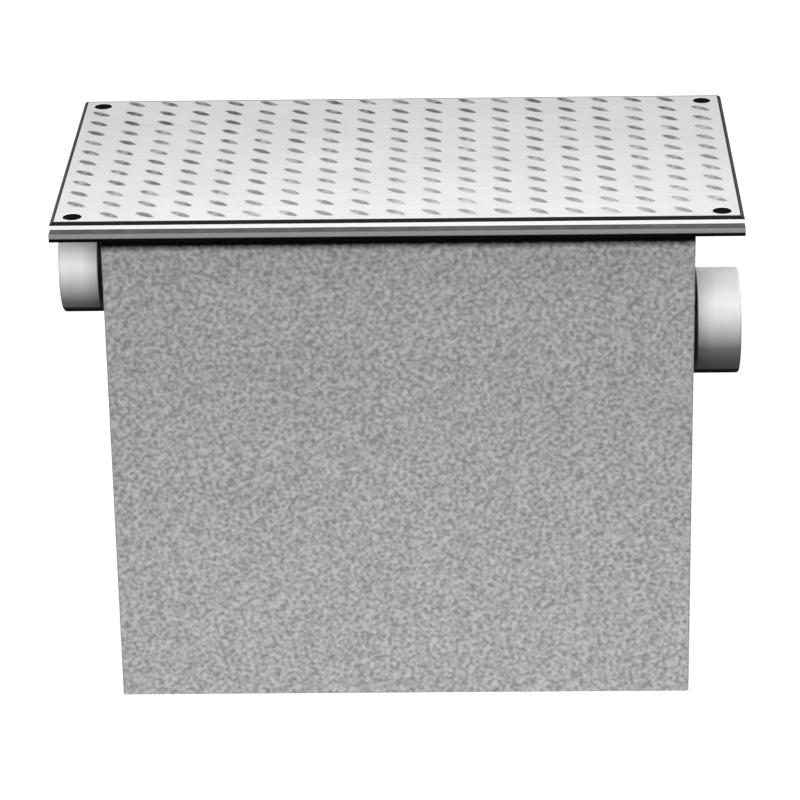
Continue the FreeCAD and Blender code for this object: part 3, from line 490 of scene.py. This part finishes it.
def dress_node(node, slot):
    """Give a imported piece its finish, and round its edges."""
    piece = frame["nodes"][node]
    piece.data.materials.clear()
    piece.data.materials.append(FINISHES[slot])
    if slot not in EDGE_ROUNDING:
        return
    joined = piece.modifiers.new("joined", "WELD")
    joined.merge_threshold = JOIN_DISTANCE
    rounded = piece.modifiers.new("rounded", "BEVEL")
    rounded.width = EDGE_ROUNDING[slot]
    rounded.segments = ROUNDING_SEGMENTS
    rounded.limit_method = "ANGLE"
    rounded.angle_limit = math.radians(ROUNDING_ANGLE)
    rounded.harden_normals = True


# Cover

# Lugs of the tread plate, on a lattice that starts at the cover's front left corner
LUG_LENGTH = 19 * MM
LUG_WIDTH = 7 * MM
LUG_HEIGHT = 1.6 * MM
LUG_ANGLE = math.radians(140)
LUG_COLUMNS = 19
LUG_ROWS = 12
LUG_COLUMN_PITCH = 34.2 * MM
LUG_ROW_PITCH = 30 * MM
LUG_MARGIN_LEFT = 21 * MM
LUG_MARGIN_FRONT = 22 * MM

# The lug's spindle: its radius at the middle, the radius of its lengthwise arc, and how deep its axis lies
LUG_ROUND = (LUG_WIDTH ** 2 / 4 + LUG_HEIGHT ** 2) / (2 * LUG_HEIGHT)
LUG_CROWN = (LUG_LENGTH ** 2 / 4 + LUG_HEIGHT ** 2) / (2 * LUG_HEIGHT)
LUG_AXIS_DEPTH = LUG_ROUND - LUG_HEIGHT
LUG_ROOT_BLEND = 0.3 * MM
LUG_STEPS = 28

# Rings of a lug from the plate up: share of its outline, its dirt and painted shade, and how bright its
# painted highlight is
LUG_RINGS = (
    (1.45, 0.0, 0.0),
    (1.3, 0.2, 0.5),
    (1.14, 0.75, 0.2),
    (1.0, 0.95, 0.0),
    (0.88, 1.0, 0.0),
    (0.74, 1.0, 0.0),
    (0.55, 0.95, 0.0),
    (0.3, 0.85, 0.0),
)
CROWN_MARKS = (0.75, 0.0)
UNMARKED = (0.0, 0.0)

# Cover plate around its lugs: bevelled arris, black edging inside it, bevelled foot and screw seats
ARRIS_WIDTH = 2.8 * MM
ARRIS_DEPTH = 2.3 * MM
FRONT_EDGING = 2.2 * MM
SIDE_EDGING = 1.2 * MM
BACK_EDGING = 1.5 * MM
COVER_FOOT = 0.2 * MM
SCREW_INSET_X = 20.5 * MM
SCREW_INSET_Y = 18.5 * MM
SEAT_RADIUS = 9.5 * MM
SEAT_HOLE_RADIUS = 5.35 * MM
SEAT_SLOPE = math.tan(math.radians(41))
SEAT_DEPTH = (SEAT_RADIUS - SEAT_HOLE_RADIUS) / SEAT_SLOPE
SEAT_STEPS = 48

# Settings of the fill between an outline and its holes: keep what lies inside, and join points this near
FILL_INSIDE = 1
FILL_TOLERANCE = 1e-9


def spindle_radius(along):
    return LUG_ROUND - LUG_CROWN + math.sqrt(LUG_CROWN ** 2 - along ** 2)


def lug_outline(step):
    """A point of a lug's outline: along its axis and across it."""
    angle = TAU * step / LUG_STEPS
    along = LUG_LENGTH / 2 * math.cos(angle)
    across = math.sqrt(max(spindle_radius(along) ** 2 - LUG_AXIS_DEPTH ** 2, 0))
    return along, math.copysign(across, math.sin(angle))


def lug_height(along, across):
    """Height of a lug over the plate, run out softly at its root."""
    height = math.sqrt(max(spindle_radius(along) ** 2 - across ** 2, 0)) - LUG_AXIS_DEPTH
    soft = (height + math.hypot(height, LUG_ROOT_BLEND)) / 2
    highest = (LUG_HEIGHT + math.hypot(LUG_HEIGHT, LUG_ROOT_BLEND)) / 2
    return soft * LUG_HEIGHT / highest


def lug_centres(low):
    """Places of the lugs; the four corners of the lattice are left to the screws."""
    corners = {(column, row) for column in (0, LUG_COLUMNS - 1) for row in (0, LUG_ROWS - 1)}
    for column in range(LUG_COLUMNS):
        for row in range(LUG_ROWS):
            if (column, row) not in corners:
                yield (
                    low.x + LUG_MARGIN_LEFT + column * LUG_COLUMN_PITCH,
                    low.y + LUG_MARGIN_FRONT + row * LUG_ROW_PITCH,
                )


def lug_rings(x, y):
    """Rings of a lug from the first, which lies on the plate, to its crown, as plan points with heights."""
    axis_x, axis_y = math.cos(LUG_ANGLE), math.sin(LUG_ANGLE)
    rings = []
    for number, (share, _, _) in enumerate(LUG_RINGS):
        ring = []
        for step in range(LUG_STEPS):
            along, across = (share * value for value in lug_outline(step))
            height = lug_height(along, across) if number else 0
            ring.append((x + along * axis_x - across * axis_y, y + along * axis_y + across * axis_x, height))
        rings.append(ring)
    return rings


def screw_places(low, high):
    return [
        (x, y)
        for x in (low.x + SCREW_INSET_X, high.x - SCREW_INSET_X)
        for y in (low.y + SCREW_INSET_Y, high.y - SCREW_INSET_Y)
    ]


def seat_circle(x, y, radius):
    angles = [TAU * step / SEAT_STEPS for step in range(SEAT_STEPS)]
    return [(x + radius * math.cos(a), y + radius * math.sin(a)) for a in angles]


def rectangle(low, high, inset, at_front=0, at_sides=0, at_back=0):
    """Corners of a box's plan drawn in by the inset, and by more on some sides."""
    left, right = low.x + inset + at_sides, high.x - inset - at_sides
    front, back = low.y + inset + at_front, high.y - inset - at_back
    return [(left, front), (right, front), (right, back), (left, back)]


def at_level(points, level):
    """Plan points brought to a height; a height of their own is left out."""
    return [(x, y, level) for x, y, *_ in points]


def fill_around(outline, holes):
    """Triangles between an outline and convex holes, as indices of outline points, then hole points."""
    points = [*outline]
    owner = [None] * len(outline)
    loops = [range(len(outline))]
    for number, hole in enumerate(holes):
        loops.append(range(len(points), len(points) + len(hole)))
        points.extend(hole)
        owner.extend([number] * len(hole))
    edges = [(loop[i - 1], loop[i]) for loop in loops for i in range(len(loop))]
    plan = [Vector((x, y)) for x, y, *_ in points]
    _, _, faces, sources, _, _ = delaunay_2d_cdt(plan, edges, [], FILL_INSIDE, FILL_TOLERANCE)
    triangles = []
    for face in faces:
        corners = [sources[corner][0] for corner in face]
        owners = {owner[corner] for corner in corners}
        if len(owners) > 1 or None in owners:
            triangles.append(corners)
    return triangles


class CoverMesh:
    """The tread plate's points and faces, with the dirt and painted shade and the painted highlight of each
    point.
    """

    def __init__(self):
        self.vertices = []
        self.faces = []
        self.marks = []

    def add_points(self, points, marks):
        """New points that are marked alike; gives their indices."""
        first = len(self.vertices)
        self.vertices.extend(points)
        self.marks.extend([marks] * len(points))
        return range(first, len(self.vertices))

    def add_flat(self, outline, holes, level, facing_down=False):
        """A flat face with holes in it."""
        first = len(self.vertices)
        for face in fill_around(outline, holes):
            corners = [first + corner for corner in face]
            self.faces.append(corners[::-1] if facing_down else corners)
        points = [*outline, *(point for hole in holes for point in hole)]
        self.add_points(at_level(points, level), UNMARKED)

    def add_lug(self, rings, root, top):
        """The rings of a lug above its root, whose points are there already, closed at the crown."""
        before = root
        for (_, *ring_marks), ring in zip(LUG_RINGS[1:], rings[1:]):
            after = self.add_points([(x, y, top + height) for x, y, height in ring], ring_marks)
            for j in range(LUG_STEPS):
                k = (j + 1) % LUG_STEPS
                self.faces.append((before[j], before[k], after[k], after[j]))
            before = after
        middle = [sum(point[i] for point in rings[-1]) / LUG_STEPS for i in range(2)]
        crown = self.add_points([(*middle, top + LUG_HEIGHT)], CROWN_MARKS)[0]
        for j in range(LUG_STEPS):
            self.faces.append((before[j], before[(j + 1) % LUG_STEPS], crown))

    def add_wall(self, levels):
        """Faces between loops of points; gives the indices of their points."""
        first = len(self.vertices)
        add_rows(self.vertices, self.faces, levels)
        self.marks.extend([UNMARKED] * (len(self.vertices) - first))
        return range(first, len(self.vertices))


def make_cover():
    """Tread plate in one mesh: plate, smooth lugs, bevelled arris, sheared edge and screw seats."""
    low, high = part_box("cover_plate")
    top = high.z - LUG_HEIGHT
    bottom = low.z
    seats = screw_places(low, high)
    lugs = [lug_rings(x, y) for x, y in lug_centres(low)]
    mouths = [seat_circle(x, y, SEAT_RADIUS) for x, y in seats]
    seat_holes = [seat_circle(x, y, SEAT_HOLE_RADIUS) for x, y in seats]
    outline = rectangle(low, high, ARRIS_WIDTH, FRONT_EDGING, SIDE_EDGING, BACK_EDGING)
    outside = rectangle(low, high, 0)
    foot = rectangle(low, high, COVER_FOOT)

    cover = CoverMesh()
    cover.add_flat(outline, [*mouths, *(rings[0] for rings in lugs)], top)
    first = len(outline) + len(mouths) * SEAT_STEPS
    for rings in lugs:
        cover.add_lug(rings, range(first, first + LUG_STEPS), top)
        first += LUG_STEPS
    arris = cover.add_wall([
        at_level(outline, top),
        at_level(rectangle(low, high, ARRIS_WIDTH), top),
        at_level(outside, top - ARRIS_DEPTH),
    ])
    edge = cover.add_wall([
        at_level(outside, top - ARRIS_DEPTH),
        at_level(outside, bottom + COVER_FOOT),
        at_level(foot, bottom),
    ])
    for mouth, hole in zip(mouths, seat_holes):
        cover.add_wall([at_level(mouth, top), at_level(hole, top - SEAT_DEPTH), at_level(hole, bottom)])
    cover.add_flat(foot, seat_holes, bottom, facing_down=True)

    steel = FINISHES["cover_steel"]
    piece = add_piece("tread_plate", cover.vertices, cover.faces, steel, "cover")
    count = len(cover.vertices)
    add_attribute(piece, "dirt_and_shade", [dirt_and_shade for dirt_and_shade, _ in cover.marks])
    add_attribute(piece, "wear_and_highlight", [wear_and_highlight for _, wear_and_highlight in cover.marks])
    add_attribute(piece, "arris", [float(i in arris) for i in range(count)])
    add_attribute(piece, "edge", [float(i in edge) for i in range(count)])
    shade_smooth(piece, MACHINED_CREASE)
    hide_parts("cover_plate")


# Couplings with pipe threads

THREAD_SHARE = 0.72
THREAD_STEEPNESS = 1.3
THREAD_ROWS = 8
TURN_STEPS = 96
RUN_OUT_TURNS = 2
ROUNDED_MOUTH_STEPS = 4

# Sizes of the inlet and outlet couplings, and of the smaller ones on the back
PORT = {"wall": 11.7 * MM, "chamfer": 3 * MM, "pitch": 3.175 * MM}
SERVICE = {"wall": 8 * MM, "chamfer": 2.5 * MM, "pitch": 2.209 * MM}

# Each coupling's way out, its plate, the length of its dark foot band, and its painted underside shade's
# reach as a share of radius
COUPLINGS = {
    "inlet_coupling": {**PORT, "way": LEFT, "plate": "inlet_end_plate", "foot_band": 14 * MM, "shade_reach": -0.37},
    "outlet_coupling": {**PORT, "way": RIGHT, "plate": "outlet_end_plate", "foot_band": 9.5 * MM, "shade_reach": 0.0},
    "vent_coupling": {**SERVICE, "way": BACK, "plate": "back_wall", "foot_band": 7 * MM, "shade_reach": -0.3},
    "draw_off_coupling": {**SERVICE, "way": BACK, "plate": "back_wall", "foot_band": 7 * MM, "shade_reach": -0.3},
}
# The coupling whose top gets a painted shadow of the rim
RIM_SHADED_COUPLING = "inlet_coupling"
FOOT_BAND_FADE = 1.5 * MM
FOOT_BAND_ROWS = 2

# The draw-off coupling's inner socket: its radius, and where it and the thread end, from the wall's outside
DRAW_OFF_SOCKET_RADIUS = 30.25 * MM
DRAW_OFF_SOCKET_END = 1.5 * MM
DRAW_OFF_THREAD_END = 8 * MM


def thread_wave(turns):
    """A thread's depth as a share, flat at its crests and roots."""
    ramp = 1 - abs(2 * (turns % 1) - 1)
    return min(max(THREAD_STEEPNESS * (ramp - 0.5) + 0.5, 0), 1)


def ring_row(height, radius):
    """A row of points round the axis; the radius may change with the turn."""
    row = []
    for step in range(TURN_STEPS):
        turn = step / TURN_STEPS
        r = radius(turn) if callable(radius) else radius
        row.append((r * math.cos(TAU * turn), r * math.sin(TAU * turn), height))
    return row


def thread_rows(bore, pitch, mouth, chamfer, inner_end):
    """Rows of a threaded bore from its bevelled mouth inward."""
    count = max(2, round((mouth - inner_end) / pitch * THREAD_ROWS))
    rows = []
    for i in range(count + 1):
        height = mouth - (mouth - inner_end) * i / count
        fade = min(1, (height - inner_end) / (RUN_OUT_TURNS * pitch))
        bevel = bore + max(0, height - (mouth - chamfer))

        def radius(turn, height=height, fade=fade, bevel=bevel):
            cut = bore + THREAD_SHARE * pitch * fade * thread_wave(height / pitch + turn)
            return max(cut, bevel)

        rows.append(ring_row(height, radius))
    return rows


def outer_rows(outer, foot, foot_band, mouth, chamfer):
    """Rows up the outside of a coupling, past its dark foot band, and over its rounded outer edge."""
    heights = (foot, foot_band, foot_band + FOOT_BAND_FADE, mouth - chamfer)
    rows = [ring_row(height, outer) for height in heights]
    for i in range(1, ROUNDED_MOUTH_STEPS + 1):
        angle = math.pi / 2 * i / ROUNDED_MOUTH_STEPS
        height = mouth - chamfer + chamfer * math.sin(angle)
        rows.append(ring_row(height, outer - chamfer + chamfer * math.cos(angle)))
    return rows


def coupling_matrix(node, way, plate):
    """The frame of a coupling: its own Z out along its axis, from the outside of its plate."""
    low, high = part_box(node)
    plate_low, plate_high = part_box(plate)
    middle = (low + high) / 2
    face = plate_high if max(way) > 0 else plate_low
    foot = middle + way * (way.dot(face) - way.dot(middle))
    return Matrix.Translation(foot) @ way.to_track_quat("Z", "Y").to_matrix().to_4x4()


def coupling_rows(outer, foot, mouth, wall, chamfer, pitch, foot_band):
    """Rows up the outside of a coupling and down its bore; one that goes on through the wall has a socket."""
    bore = outer - wall
    rows = outer_rows(outer, foot, foot_band, mouth, chamfer)
    if foot > -MM:
        return rows + thread_rows(bore, pitch, mouth, chamfer, foot)
    return [
        *rows,
        *thread_rows(bore, pitch, mouth, chamfer, DRAW_OFF_THREAD_END),
        ring_row(DRAW_OFF_SOCKET_END, bore),
        ring_row(DRAW_OFF_SOCKET_END, DRAW_OFF_SOCKET_RADIUS),
        ring_row(foot, DRAW_OFF_SOCKET_RADIUS),
    ]


def mark_coupling(piece, heights, shade_reach, rim_shaded):
    """A dark band on the foot's rows; the black underside line, painted rim shadow and painted underside
    shade by each point's height as a share of the radius.
    """
    foot_band_points = FOOT_BAND_ROWS * TURN_STEPS
    add_attribute(piece, "foot_band", [float(i < foot_band_points) for i in range(len(heights))])
    add_attribute(piece, "height_share", heights)
    add_attribute(piece, "coupling_rim_shadow", [height if rim_shaded else 0 for height in heights])
    add_attribute(piece, "upward", [height - shade_reach for height in heights])


def make_coupling(node, way, plate, shade_reach, **sizes):
    """A half coupling with a real thread in its bore, welded to its plate."""
    low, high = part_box(node)
    matrix = coupling_matrix(node, way, plate)
    outer = max(high[i] - low[i] for i in range(3) if not way[i]) / 2
    mouth = max(way.dot(low), way.dot(high)) - way.dot(matrix.translation)
    foot = min(way.dot(low), way.dot(high)) - way.dot(matrix.translation)
    vertices = []
    faces = []
    add_rows(vertices, faces, coupling_rows(outer, foot, mouth, **sizes), closed_along=True)
    steel = FINISHES["port_steel"]
    piece = add_piece(f"threaded_{node}", vertices, faces, steel, "tank", matrix)
    up = matrix.to_3x3().transposed() @ UP
    heights = [up.dot(Vector(vertex)) / outer for vertex in vertices]
    mark_coupling(piece, heights, shade_reach, rim_shaded=node == RIM_SHADED_COUPLING)
    shade_smooth(piece, MACHINED_CREASE)
    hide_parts(node)
    add_ring_weld(f"{node}_weld", matrix, outer)


# Weld beads

PORT_BEAD = 4.5 * MM
RIM_BEAD = 4 * MM
INNER_BEAD = 3.2 * MM
SEAM_HALF_WIDTH = 3 * MM
SEAM_HEIGHT_SHARE = 0.3
BEAD_STEPS = 6
BEAD_SUNK = 0.2

# Ripples along a bead: their length, points to each, depth as a share, and how far they bow ahead
RIPPLE = 3 * MM
RIPPLE_SAMPLES = 5
RIPPLE_DEPTH = 0.09
RIPPLE_CURVE = 0.4

# Slow changes of a bead's size, as shares: on straight beads a sum of waves, on round ones even swells
WANDER_LENGTHS = (15 * MM, 60 * MM)
WANDER_DEPTH = 0.05
WANDER_WAVES = 3
SWELL_LENGTH = 40 * MM
SWELL_DEPTH = 0.06

# Beads inside the tank: clear of the mouth and of the hood's bend, and stitches on the rails and guides
INNER_HEADROOM = 12 * MM
HOOD_BEND = 10 * MM
STITCH = 28 * MM
STITCH_COUNT = 3


def bead_row(corner, first_way, second_way, leg, travelled, wander, sweep=math.pi / 2):
    """Section of a bead: from one plate round to the other, its ripple a little ahead in the middle."""
    row = [corner - (first_way + second_way) * (leg * BEAD_SUNK)]
    for step in range(BEAD_STEPS + 1):
        angle = sweep * step / BEAD_STEPS
        arch = math.sin(math.pi * step / BEAD_STEPS)
        phase = travelled / RIPPLE + RIPPLE_CURVE * arch
        size = leg * wander * (1 + RIPPLE_DEPTH * math.cos(TAU * phase) * arch)
        row.append(corner + first_way * (size * math.cos(angle)) + second_way * (size * math.sin(angle)))
    return row


def wander_of(rng):
    """A slow, smooth change of a bead's size along its run."""
    waves = [(rng.uniform(*WANDER_LENGTHS), rng.uniform(0, TAU)) for _ in range(WANDER_WAVES)]

    def wander(travelled):
        heights = [math.sin(TAU * travelled / length + phase) for length, phase in waves]
        return 1 + WANDER_DEPTH * sum(heights) / WANDER_WAVES

    return wander


def add_ring_weld(name, matrix, radius):
    """Bead round the foot of a coupling or a ferrule."""
    rng = random.Random(SEED + len(name))
    count = round(TAU * radius / RIPPLE) * RIPPLE_SAMPLES
    length = count / RIPPLE_SAMPLES * RIPPLE
    swells = max(1, round(length / SWELL_LENGTH))
    start = rng.uniform(0, TAU)
    rows = []
    for i in range(count):
        turn = TAU * i / count
        out = Vector((math.cos(turn), math.sin(turn), 0))
        wander = 1 + SWELL_DEPTH * math.sin(swells * turn + start)
        rows.append(bead_row(out * radius, out, UP, PORT_BEAD, length * i / count, wander))
    vertices = []
    faces = []
    add_rows(vertices, faces, rows, closed_along=True)
    piece = add_piece(name, vertices, faces, WELD, "tank", matrix)
    shade_smooth(piece, BEAD_CREASE)


def add_straight_welds(name, runs, leg, sweep=math.pi / 2):
    """Painted beads along straight corners: each run is its two ends and the ways of its two plates."""
    rng = random.Random(SEED + len(name))
    vertices = []
    faces = []
    for start, end, first_way, second_way in runs:
        if (end - start).cross(first_way).dot(second_way) < 0:
            start, end = end, start
        along = end - start
        count = max(2, round(along.length / RIPPLE * RIPPLE_SAMPLES))
        wander = wander_of(rng)
        rows = []
        for i in range(count + 1):
            travelled = along.length * i / count
            corner = start + along * (i / count)
            rows.append(bead_row(corner, first_way, second_way, leg, travelled, wander(travelled), sweep))
        first = len(vertices)
        add_rows(vertices, faces, rows)
        close_ends(faces, first, len(vertices), len(rows[0]))
    piece = add_piece(name, vertices, faces, FINISHES["tank_paint"], "tank")
    shade_smooth(piece, BEAD_CREASE)


def make_rim_welds():
    """Beads under the rim, where its bars meet the walls."""
    low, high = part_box("front_wall")
    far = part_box("back_wall")[1].y
    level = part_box("front_rim_bar")[0].z
    plan = [(low.x, low.y), (high.x, low.y), (high.x, far), (low.x, far)]
    starts = [Vector(corner) for corner in at_level(plan, level)]
    ends = [*starts[1:], starts[0]]
    runs = [(start, end, way, DOWN) for start, end, way in zip(starts, ends, (FRONT, RIGHT, BACK, LEFT))]
    add_straight_welds("rim_welds", runs, RIM_BEAD)


def make_corner_welds():
    """Flat seams down the end faces, where the end plates meet the long walls."""
    low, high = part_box("front_wall")
    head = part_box("front_rim_bar")[0].z
    runs = []
    for x, out in ((low.x, LEFT), (high.x, RIGHT)):
        for y in (high.y, -high.y):
            runs.append((Vector((x, y, low.z)), Vector((x, y, head)), BACK, out * SEAM_HEIGHT_SHARE))
    add_straight_welds("corner_welds", runs, SEAM_HALF_WIDTH, sweep=math.pi)


def stitches(start, end, first_way, second_way):
    """Short runs, evenly spaced along a line."""
    way = (end - start).normalized()
    for i in range(STITCH_COUNT):
        middle = start.lerp(end, (i + 0.5) / STITCH_COUNT)
        yield middle - way * (STITCH / 2), middle + way * (STITCH / 2), first_way, second_way


def long_wall_runs(side, wall, inward):
    """Runs on a long wall's inside: corners, the trap's hood, and stitches on its bucket rail and guide."""
    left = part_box("inlet_end_plate")[1].x
    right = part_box("outlet_end_plate")[0].x
    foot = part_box("floor_plate")[1].z
    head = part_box("front_wall")[1].z - INNER_HEADROOM
    hood_low, hood_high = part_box("trap_hood")
    shelf = hood_high.z

    def at(x, z):
        return Vector((x, wall, z))

    runs = [
        (at(left, foot), at(left, head), RIGHT, inward),
        (at(right, shelf), at(right, head), LEFT, inward),
        (at(hood_low.x + HOOD_BEND, shelf), at(right, shelf), inward, UP),
        (at(hood_low.x, hood_low.z), at(hood_low.x, shelf - HOOD_BEND), LEFT, inward),
    ]
    rail_low, rail_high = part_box(f"{side}_bucket_rail")
    runs += stitches(at(rail_low.x, rail_high.z), at(rail_high.x, rail_high.z), inward, UP)
    guide_low, guide_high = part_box(f"{side}_baffle_guide")
    for x, out in ((guide_low.x, LEFT), (guide_high.x, RIGHT)):
        runs += stitches(at(x, guide_low.z), at(x, guide_high.z), out, inward)
    return runs


def make_inner_welds():
    """Beads inside the tank: behind the trap's hood, along both long walls and round the cleanout."""
    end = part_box("outlet_end_plate")[0].x
    hood_low, hood_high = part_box("trap_hood")
    shelf = hood_high.z
    runs = [(Vector((end, hood_low.y, shelf)), Vector((end, hood_high.y, shelf)), LEFT, UP)]
    runs += long_wall_runs("front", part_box("front_wall")[1].y, BACK)
    runs += long_wall_runs("back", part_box("back_wall")[0].y, FRONT)
    add_straight_welds("inner_welds", runs, INNER_BEAD)
    ferrule_low, ferrule_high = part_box("cleanout_ferrule")
    middle = (ferrule_low + ferrule_high) / 2
    matrix = Matrix.Translation((middle.x, middle.y, shelf))
    add_ring_weld("cleanout_ferrule_weld", matrix, middle.x - ferrule_low.x)


# Cover screws

SCREW_PITCH = 1.5875 * MM
SCREW_THREAD_SHARE = 0.55
SCREW_RADIUS = 4.75 * MM
SCREW_TIP = 1.2 * MM
SCREW_HEAD_RADIUS = 9 * MM
SCREW_HEAD_HEIGHT = (SCREW_HEAD_RADIUS - SCREW_RADIUS) / SEAT_SLOPE
SOCKET_SIDES = 6
SOCKET_APOTHEM = 2.8 * MM
SOCKET_DEPTH = 3.6 * MM
SOCKET_POINT = 1.2 * MM
AXIS_RADIUS = 0.05 * MM


def socket_radius(turn):
    """How far the socket's side lies from its axis."""
    return SOCKET_APOTHEM / math.cos((turn * SOCKET_SIDES % 1 - 0.5) * TAU / SOCKET_SIDES)


def screw_rows(length):
    """Rows of a flat-head screw from its tip up the thread, over the head and down into the socket."""
    shank = length - SCREW_HEAD_HEIGHT
    count = round(shank / SCREW_PITCH * THREAD_ROWS)
    rows = [ring_row(-length, AXIS_RADIUS)]
    for i in range(count + 1):
        rise = shank * i / count
        fade = min(1, (shank - rise) / (RUN_OUT_TURNS * SCREW_PITCH))
        bevel = SCREW_RADIUS - max(0, SCREW_TIP - rise)

        def radius(turn, rise=rise, fade=fade, bevel=bevel):
            depth = SCREW_THREAD_SHARE * SCREW_PITCH * fade * thread_wave(rise / SCREW_PITCH + turn)
            return min(SCREW_RADIUS - depth, bevel)

        rows.append(ring_row(rise - length, radius))
    rows += [
        ring_row(0, SCREW_HEAD_RADIUS),
        ring_row(0, socket_radius),
        ring_row(-SOCKET_DEPTH, socket_radius),
        ring_row(-SOCKET_DEPTH - SOCKET_POINT, AXIS_RADIUS),
    ]
    return rows


def make_screws():
    """The four cover screws with real threads and sockets."""
    low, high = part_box("cover_screws")
    rows = screw_rows(high.z - low.z)
    vertices = []
    faces = []
    for x, y in screw_places(*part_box("cover_plate")):
        first = len(vertices)
        add_rows(vertices, faces, [[(x + px, y + py, high.z + pz) for px, py, pz in row] for row in rows])
        close_ends(faces, first, len(vertices), TURN_STEPS)
    piece = add_piece("threaded_screws", vertices, faces, FINISHES["screw_black"], "cover")
    shade_smooth(piece, MACHINED_CREASE)
    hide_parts("cover_screws")


# Scene

def aim(thing, place, target):
    thing.location = place
    thing.rotation_mode = "QUATERNION"
    thing.rotation_quaternion = (Vector(target) - Vector(place)).to_track_quat("-Z", "Y")


def add_softbox(name, place, target, width, height, level):
    """An area light whose power is set by how bright it makes white paper that faces it."""
    lamp = bpy.data.lights.new(name, "AREA")
    lamp.shape = "RECTANGLE"
    lamp.size = width
    lamp.size_y = height
    distance = (Vector(target) - Vector(place)).length
    lamp.energy = level * math.pi ** 2 * distance ** 2
    light = bpy.data.objects.new(name, lamp)
    bpy.context.scene.collection.objects.link(light)
    aim(light, place, target)


def seen_share(nodes, links):
    """One for rays that show the background: straight, mirrored or through glass."""
    path = nodes.new("ShaderNodeLightPath")
    share = path.outputs["Is Camera Ray"]
    for name in ("Is Glossy Ray", "Is Transmission Ray"):
        either = nodes.new("ShaderNodeMath")
        either.operation = "MAXIMUM"
        links.new(share, either.inputs[0])
        links.new(path.outputs[name], either.inputs[1])
        share = either.outputs[0]
    return share


def add_world():
    """White to the eye, dim as a source of light."""
    world = bpy.data.worlds.new("studio")
    bpy.context.scene.world = world
    world.use_nodes = True
    nodes = world.node_tree.nodes
    links = world.node_tree.links
    ambient = nodes["Background"]
    ambient.inputs["Color"].default_value = WHITE
    ambient.inputs["Strength"].default_value = AMBIENT
    white = nodes.new("ShaderNodeBackground")
    white.inputs["Color"].default_value = WHITE
    mix = nodes.new("ShaderNodeMixShader")
    links.new(seen_share(nodes, links), mix.inputs[0])
    links.new(ambient.outputs[0], mix.inputs[1])
    links.new(white.outputs[0], mix.inputs[2])
    links.new(mix.outputs[0], nodes["World Output"].inputs[0])


def floor_finish():
    """White to the eye with the object's soft shadow, dim as a source of light."""
    material = bpy.data.materials.new("studio_floor")
    material.use_nodes = True
    nodes = material.node_tree.nodes
    links = material.node_tree.links
    nodes.remove(nodes["Principled BSDF"])
    glow = nodes.new("ShaderNodeEmission")
    glow.inputs["Strength"].default_value = FLOOR_GLOW
    pale = nodes.new("ShaderNodeBsdfDiffuse")
    pale.inputs["Color"].default_value = (FLOOR_PALE,) * 3 + (1,)
    seen = nodes.new("ShaderNodeAddShader")
    links.new(glow.outputs[0], seen.inputs[0])
    links.new(pale.outputs[0], seen.inputs[1])
    dim = nodes.new("ShaderNodeBsdfDiffuse")
    dim.inputs["Color"].default_value = (FLOOR_DIM,) * 3 + (1,)
    mix = nodes.new("ShaderNodeMixShader")
    links.new(seen_share(nodes, links), mix.inputs[0])
    links.new(dim.outputs[0], mix.inputs[1])
    links.new(seen.outputs[0], mix.inputs[2])
    links.new(mix.outputs[0], nodes["Material Output"].inputs["Surface"])
    return material


def add_floor():
    half = FLOOR_SIZE / 2
    level = cad_box[0].z
    mesh = bpy.data.meshes.new("studio_floor")
    corners = [(-half, -half, level), (half, -half, level), (half, half, level), (-half, half, level)]
    mesh.from_pydata(corners, [], [(0, 1, 2, 3)])
    mesh.materials.append(floor_finish())
    floor = bpy.data.objects.new("studio_floor", mesh)
    bpy.context.scene.collection.objects.link(floor)


def add_camera():
    azimuth, elevation = math.radians(CAMERA_AZIMUTH), math.radians(CAMERA_ELEVATION)
    back = Vector((
        math.sin(azimuth) * math.cos(elevation),
        -math.cos(azimuth) * math.cos(elevation),
        math.sin(elevation),
    ))
    lens = bpy.data.cameras.new("camera")
    lens.lens = CAMERA_LENS
    camera = bpy.data.objects.new("camera", lens)
    bpy.context.scene.collection.objects.link(camera)
    camera.location = CAMERA_PLACE
    camera.rotation_mode = "QUATERNION"
    roll = Quaternion((0, 0, 1), math.radians(CAMERA_ROLL))
    camera.rotation_quaternion = (-back).to_track_quat("-Z", "Y") @ roll
    bpy.context.scene.camera = camera


for part in frame["record"]["subparts"]:
    dress_node(part["node"], part["material_slot"])
make_cover()
for node, details in COUPLINGS.items():
    make_coupling(node, **details)
make_rim_welds()
make_corner_welds()
make_inner_welds()
make_screws()
for name, box in SOFTBOXES.items():
    add_softbox(name, *box)
add_world()
add_floor()
add_camera()
bpy.context.scene.view_settings.view_transform = "Standard"
